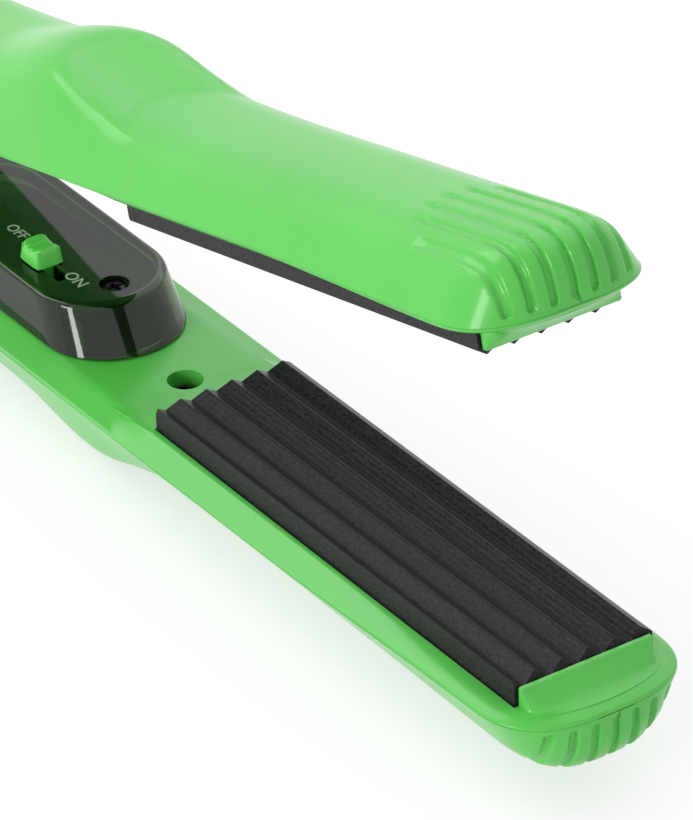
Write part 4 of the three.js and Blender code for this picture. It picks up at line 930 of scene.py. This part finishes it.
def lettering(words, x, y, height, material):
    """Raised letters on the switch cover, made a mesh with closed seams before they are placed."""
    curve = bpy.data.curves.new(words, "FONT")
    curve.body = words
    curve.size = height * MM * FONT_SIZE
    curve.extrude = LETTER_RISE * MM
    curve.align_x = "CENTER"
    curve.align_y = "CENTER"
    text = bpy.data.objects.new(words, curve)
    bpy.context.scene.collection.objects.link(text)
    depsgraph = bpy.context.evaluated_depsgraph_get()
    mesh = bpy.data.meshes.new_from_object(text.evaluated_get(depsgraph))
    bpy.data.objects.remove(text)
    seams = bmesh.new()
    seams.from_mesh(mesh)
    bmesh.ops.remove_doubles(seams, verts=seams.verts, dist=0.0001 * MM)
    seams.to_mesh(mesh)
    seams.free()
    where = on_lower_arm(np.array([x, y, SWITCH_HEIGHT + LETTER_LIFT]))
    mesh.transform(Matrix.Translation(Vector(where)))
    piece = bpy.data.objects.new("letters_" + words.lower(), mesh)
    bpy.context.scene.collection.objects.link(piece)
    mesh.materials.clear()
    mesh.materials.append(material)
    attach(piece, "lower_arm")


# ---------------------------------------------------------------- finishes
def new_material(name):
    """A node material with its tree's nodes and links and its surface shader."""
    material = bpy.data.materials.new(name)
    material.use_nodes = True
    nodes = material.node_tree.nodes
    return material, nodes, material.node_tree.links, nodes["Principled BSDF"]


def noise(nodes, links, place, scale, detail):
    """Cloudy noise over the object's own coordinates: sums of ever finer waves from this scale up."""
    texture = nodes.new("ShaderNodeTexNoise")
    texture.inputs["Scale"].default_value = scale
    texture.inputs["Detail"].default_value = detail
    links.new(place.outputs["Object"], texture.inputs["Vector"])
    return texture


def two_colours(nodes, links, shader, texture, first, second):
    """Base colour that runs from one (position, colour) of the noise to the other."""
    ramp = nodes.new("ShaderNodeValToRGB")
    for element, (position, colour) in zip(ramp.color_ramp.elements, (first, second)):
        element.position = position
        element.color = (*colour, 1)
    links.new(texture.outputs["Fac"], ramp.inputs["Fac"])
    links.new(ramp.outputs["Color"], shader.inputs["Base Color"])


def varied_gloss(nodes, links, shader, texture, low, high):
    """Roughness between low and high, in step with the noise."""
    gloss = nodes.new("ShaderNodeMapRange")
    gloss.inputs["To Min"].default_value = low
    gloss.inputs["To Max"].default_value = high
    links.new(texture.outputs["Fac"], gloss.inputs["Value"])
    links.new(gloss.outputs["Result"], shader.inputs["Roughness"])


def grained(nodes, links, shader, texture, strength, height):
    """The noise as a fine bump this many millimetres high."""
    bump = nodes.new("ShaderNodeBump")
    bump.inputs["Strength"].default_value = strength
    bump.inputs["Distance"].default_value = height * MM
    links.new(texture.outputs["Fac"], bump.inputs["Height"])
    links.new(bump.outputs["Normal"], shader.inputs["Normal"])


def textured(name, colour, roughness, mottle, mottle_scale, grain, grain_height, sockets=()):
    """A moulded or plated finish: slow colour drift, gloss that varies with it, and a fine grain."""
    material, nodes, links, shader = new_material(name)
    place = nodes.new("ShaderNodeTexCoord")
    drift = noise(nodes, links, place, mottle_scale, 3)
    darker = [c * (1 - mottle) for c in colour]
    paler = [min(1.0, c * (1 + mottle)) for c in colour]
    two_colours(nodes, links, shader, drift, (0.3, darker), (0.7, paler))
    varied_gloss(nodes, links, shader, drift, roughness * 0.88, roughness * 1.12)
    grained(nodes, links, shader, noise(nodes, links, place, grain, 2), 0.35, grain_height)
    for socket, value in sockets:
        shader.inputs[socket].default_value = value
    return material


def speckled(name, colour, speck_colour, roughness, specular):
    """A baked non-stick coat: fine paler specks over near-black, with a pebbled surface."""
    material, nodes, links, shader = new_material(name)
    place = nodes.new("ShaderNodeTexCoord")
    speck = noise(nodes, links, place, 1900, 4)
    speck.inputs["Roughness"].default_value = 0.7
    two_colours(nodes, links, shader, speck, (0.42, colour), (0.66, speck_colour))
    varied_gloss(nodes, links, shader, speck, roughness * 0.85, roughness * 1.2)
    grained(nodes, links, shader, speck, 0.5, 0.02)
    shader.inputs["Specular IOR Level"].default_value = specular
    return material


METAL = [("Metallic", 1.0)]
green = textured("green plastic", (0.10, 0.57, 0.08), 0.34, 0.035, 60, 2600, 0.010,
                 [("Specular IOR Level", 0.3), ("Coat Weight", 0.36), ("Coat Roughness", 0.14)])
deep_green = textured("deep green plastic", (0.13, 0.72, 0.10), 0.30, 0.05, 120, 2600, 0.012,
                      [("Coat Weight", 0.3)])
coat = speckled("coated plate", (0.012, 0.0108, 0.0126), (0.042, 0.038, 0.043), 0.34, 0.12)
smoked = textured("smoked plastic", (0.028, 0.085, 0.016), 0.045, 0.05, 80, 1500, 0.002,
                  [("Transmission Weight", 0.9), ("IOR", 1.49)])
black = textured("black plastic", (0.014, 0.014, 0.016), 0.45, 0.12, 150, 2200, 0.02)
steel = textured("steel", (0.52, 0.53, 0.55), 0.26, 0.08, 400, 6000, 0.006, METAL)
# near-black steel for the screws: painted shade, standing in for the dark of the shaded screw wells
well_shade_steel = textured("steel darkened as well shade", (0.035, 0.035, 0.038), 0.42, 0.08, 400, 6000, 0.006, METAL)
spring_steel = textured("spring steel", (0.40, 0.41, 0.43), 0.24, 0.1, 500, 6000, 0.006, METAL)
ceramic = textured("ceramic", (0.78, 0.74, 0.66), 0.6, 0.05, 200, 1800, 0.03)
film = textured("polyimide film", (0.50, 0.24, 0.035), 0.3, 0.08, 120, 1500, 0.01)
board_green = textured("circuit board", (0.03, 0.16, 0.05), 0.42, 0.1, 500, 2500, 0.01)
red_lens = textured("red lens", (0.62, 0.03, 0.015), 0.14, 0.05, 200, 1500, 0.002,
                    [("Transmission Weight", 0.5)])
lead_blue = textured("blue lead", (0.03, 0.11, 0.40), 0.45, 0.06, 250, 2500, 0.01)
lead_brown = textured("brown lead", (0.16, 0.055, 0.02), 0.45, 0.06, 250, 2500, 0.01)
letter_paint = textured("letter paint", (0.42, 0.52, 0.38), 0.5, 0.1, 900, 4000, 0.005)


def dress(node, material):
    """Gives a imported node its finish."""
    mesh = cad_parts[node].data
    mesh.materials.clear()
    mesh.materials.append(material)


# ---------------------------------------------------------------- the object
for side in ("lower", "upper"):
    body = side + "_arm"
    finished(shell(side), f"{side}_shell", body, green, 40)
    finished(plate(side), f"{side}_plate", body, coat, 38)
    for number, x in enumerate(SCREW_PLACES, 1):
        top = -SCREW_WELL_DEPTH + CLEARANCE + SCREW_HEAD * SCREW_RISE
        piece = screw(x, 0, top, SCREW_HEAD, SCREW_SHANK, SCREW_LENGTH, PLACES[side])
        finished(piece, f"{side}_cover_screw_{number}", body, well_shade_steel)
finished(lower_cover(), "lower_inner_cover", "lower_arm", green)
finished(upper_cover(), "upper_inner_cover", "upper_arm", green)
finished(switch_cover(), "switch_cover", "lower_arm", smoked)
finished(switch_knob(), "switch_knob", "switch_knob", deep_green)
small_top = SWITCH_HEIGHT - SWITCH_WELL + CLEARANCE + SMALL_HEAD * HEAD_SHARE
small_screw = screw(SMALL_PLACE, 0, small_top, SMALL_HEAD, SMALL_SHANK, SMALL_LENGTH, on_lower_arm)
finished(small_screw, "switch_cover_screw", "lower_arm", well_shade_steel)
for name, direction in (("near", -1), ("far", 1)):
    finished(hinge_pin(direction), f"hinge_pin_{name}", "lower_arm", steel)
    finished(hinge_washer(direction), f"hinge_washer_{name}", "lower_arm", ceramic)
finished(cord_gland(), "cord_gland", "lower_arm", black)
lettering("ON", KNOB_PLACE + 8.9, -KNOB_OFFSET + 1.1, 2.4, letter_paint)
lettering("OFF", KNOB_PLACE - 10.6, -KNOB_OFFSET + 1.8, 2.2, letter_paint)

BOTH_ARMS = {
    "heater": ceramic,
    "thermal_fuse": ceramic,
    "terminal_block": ceramic,
    "heater_film": film,
    "heater_clip": spring_steel,
    "plate_carrier": black,
    "heater_lead_live": lead_brown,
    "heater_lead_neutral": lead_blue,
}
LOWER_ARM_ONLY = {
    "opening_spring": spring_steel,
    "switch_body": black,
    "control_board": board_green,
    "pilot_lamp": red_lens,
    "board_lead_live": lead_brown,
    "board_lead_neutral": lead_blue,
    "supply_lead_live": lead_brown,
    "supply_lead_neutral": lead_blue,
}
for node, material in BOTH_ARMS.items():
    dress("lower_" + node, material)
    dress("upper_" + node, material)
for node, material in LOWER_ARM_ONLY.items():
    dress(node, material)


# ---------------------------------------------------------------- floor, light and camera
FLOOR_HALF = 4.0                   # metres
LAMP_TARGET = (0.0, 0.0, 0.03)


def seen_directly(nodes, links):
    """1 for a ray from the camera, off a glossy surface or through a clear one, else 0."""
    path = nodes.new("ShaderNodeLightPath")
    seen = path.outputs["Is Camera Ray"]
    for name in ("Is Glossy Ray", "Is Transmission Ray"):
        either = nodes.new("ShaderNodeMath")
        either.operation = "MAXIMUM"
        links.new(seen, either.inputs[0])
        links.new(path.outputs[name], either.inputs[1])
        seen = either.outputs["Value"]
    return seen


def mixed(nodes, links, share, first, second, output):
    """Two shaders mixed by the share into an output node's surface."""
    mix = nodes.new("ShaderNodeMixShader")
    links.new(share, mix.inputs["Fac"])
    links.new(first, mix.inputs[1])
    links.new(second, mix.inputs[2])
    links.new(mix.outputs["Shader"], output.inputs["Surface"])


def diffuse(nodes, colour):
    """A matte shader of this colour."""
    shader = nodes.new("ShaderNodeBsdfDiffuse")
    shader.inputs["Color"].default_value = (*colour, 1)
    return shader.outputs["BSDF"]


def pale_floor():
    """A white floor, seen as a glow plus the light that falls on it, so that the shadow stays faint."""
    corner = [(-1, -1, 0), (1, -1, 0), (1, 1, 0), (-1, 1, 0)]
    piece = built("floor", np.array(corner) * FLOOR_HALF, [[0, 1, 2, 3]])
    material, nodes, links, shader = new_material("floor")
    nodes.remove(shader)
    glow = nodes.new("ShaderNodeEmission")
    glow.inputs["Color"].default_value = (0.64, 0.665, 0.64, 1)
    both = nodes.new("ShaderNodeAddShader")
    links.new(diffuse(nodes, (0.48, 0.41, 0.48)), both.inputs[0])
    links.new(glow.outputs["Emission"], both.inputs[1])
    plain = diffuse(nodes, (0.9, 0.9, 0.9))
    mixed(nodes, links, seen_directly(nodes, links), plain, both.outputs["Shader"], nodes["Material Output"])
    piece.data.materials.append(material)


def background(nodes, strength):
    """White light of this strength from all round."""
    shader = nodes.new("ShaderNodeBackground")
    shader.inputs["Color"].default_value = (1, 1, 1, 1)
    shader.inputs["Strength"].default_value = strength
    return shader.outputs["Background"]


def white_world(ambient):
    """White to the camera, in reflections and through clear plastic; weaker as light on the object."""
    world = bpy.data.worlds.new("studio")
    bpy.context.scene.world = world
    world.use_nodes = True
    nodes, links = world.node_tree.nodes, world.node_tree.links
    nodes.clear()
    output = nodes.new("ShaderNodeOutputWorld")
    soft, white = background(nodes, ambient), background(nodes, 1.0)
    mixed(nodes, links, seen_directly(nodes, links), soft, white, output)


def softbox(name, place, size, power):
    """A square lamp at a place in metres, facing the object."""
    light = bpy.data.lights.new(name, "AREA")
    light.shape = "SQUARE"
    light.size = size
    light.energy = power
    lamp = bpy.data.objects.new(name, light)
    lamp.location = place
    lamp.rotation_mode = "QUATERNION"
    lamp.rotation_quaternion = (Vector(LAMP_TARGET) - Vector(place)).to_track_quat("-Z", "Y")
    bpy.context.scene.collection.objects.link(lamp)


def photo_camera():
    """The photograph's camera, placed along its own axes from the lower plate's tip."""
    back = np.array([math.sin(CAMERA_AZIMUTH) * math.cos(CAMERA_ELEVATION),
                     -math.cos(CAMERA_AZIMUTH) * math.cos(CAMERA_ELEVATION), math.sin(CAMERA_ELEVATION)])
    level = np.array([math.cos(CAMERA_AZIMUTH), math.sin(CAMERA_AZIMUTH), 0])
    upright = np.cross(back, level)
    c, s = math.cos(CAMERA_ROLL), math.sin(CAMERA_ROLL)
    right = c * level + s * upright
    up = -s * level + c * upright
    tip = np.array([plate_high[0], 1.25, LOWER_ORIGIN[2] + PLATE_STANDOFF])
    place = tip + back * CAMERA_DISTANCE + right * CAMERA_ASIDE + up * CAMERA_RAISED
    data = bpy.data.cameras.new("camera")
    data.sensor_width = SENSOR
    data.lens = FOCAL_PIXELS * SENSOR / max(PHOTO_WIDTH, PHOTO_HEIGHT)
    data.clip_start = 0.05
    data.clip_end = 50
    camera = bpy.data.objects.new("camera", data)
    turned = np.stack([right, up, back, place * MM], 1)
    camera.matrix_world = Matrix([*turned.tolist(), (0, 0, 0, 1)])
    bpy.context.scene.collection.objects.link(camera)
    bpy.context.scene.camera = camera


pale_floor()
white_world(0.55)
softbox("key", (-0.75, -0.4, 1.05), 0.9, 6.3)
softbox("overhead", (-0.35, 0.75, 1.1), 1.5, 5.5)
softbox("side", (0.25, -1.3, 0.42), 0.42, 6.5)
photo_camera()
bpy.context.scene.view_settings.view_transform = "Standard"
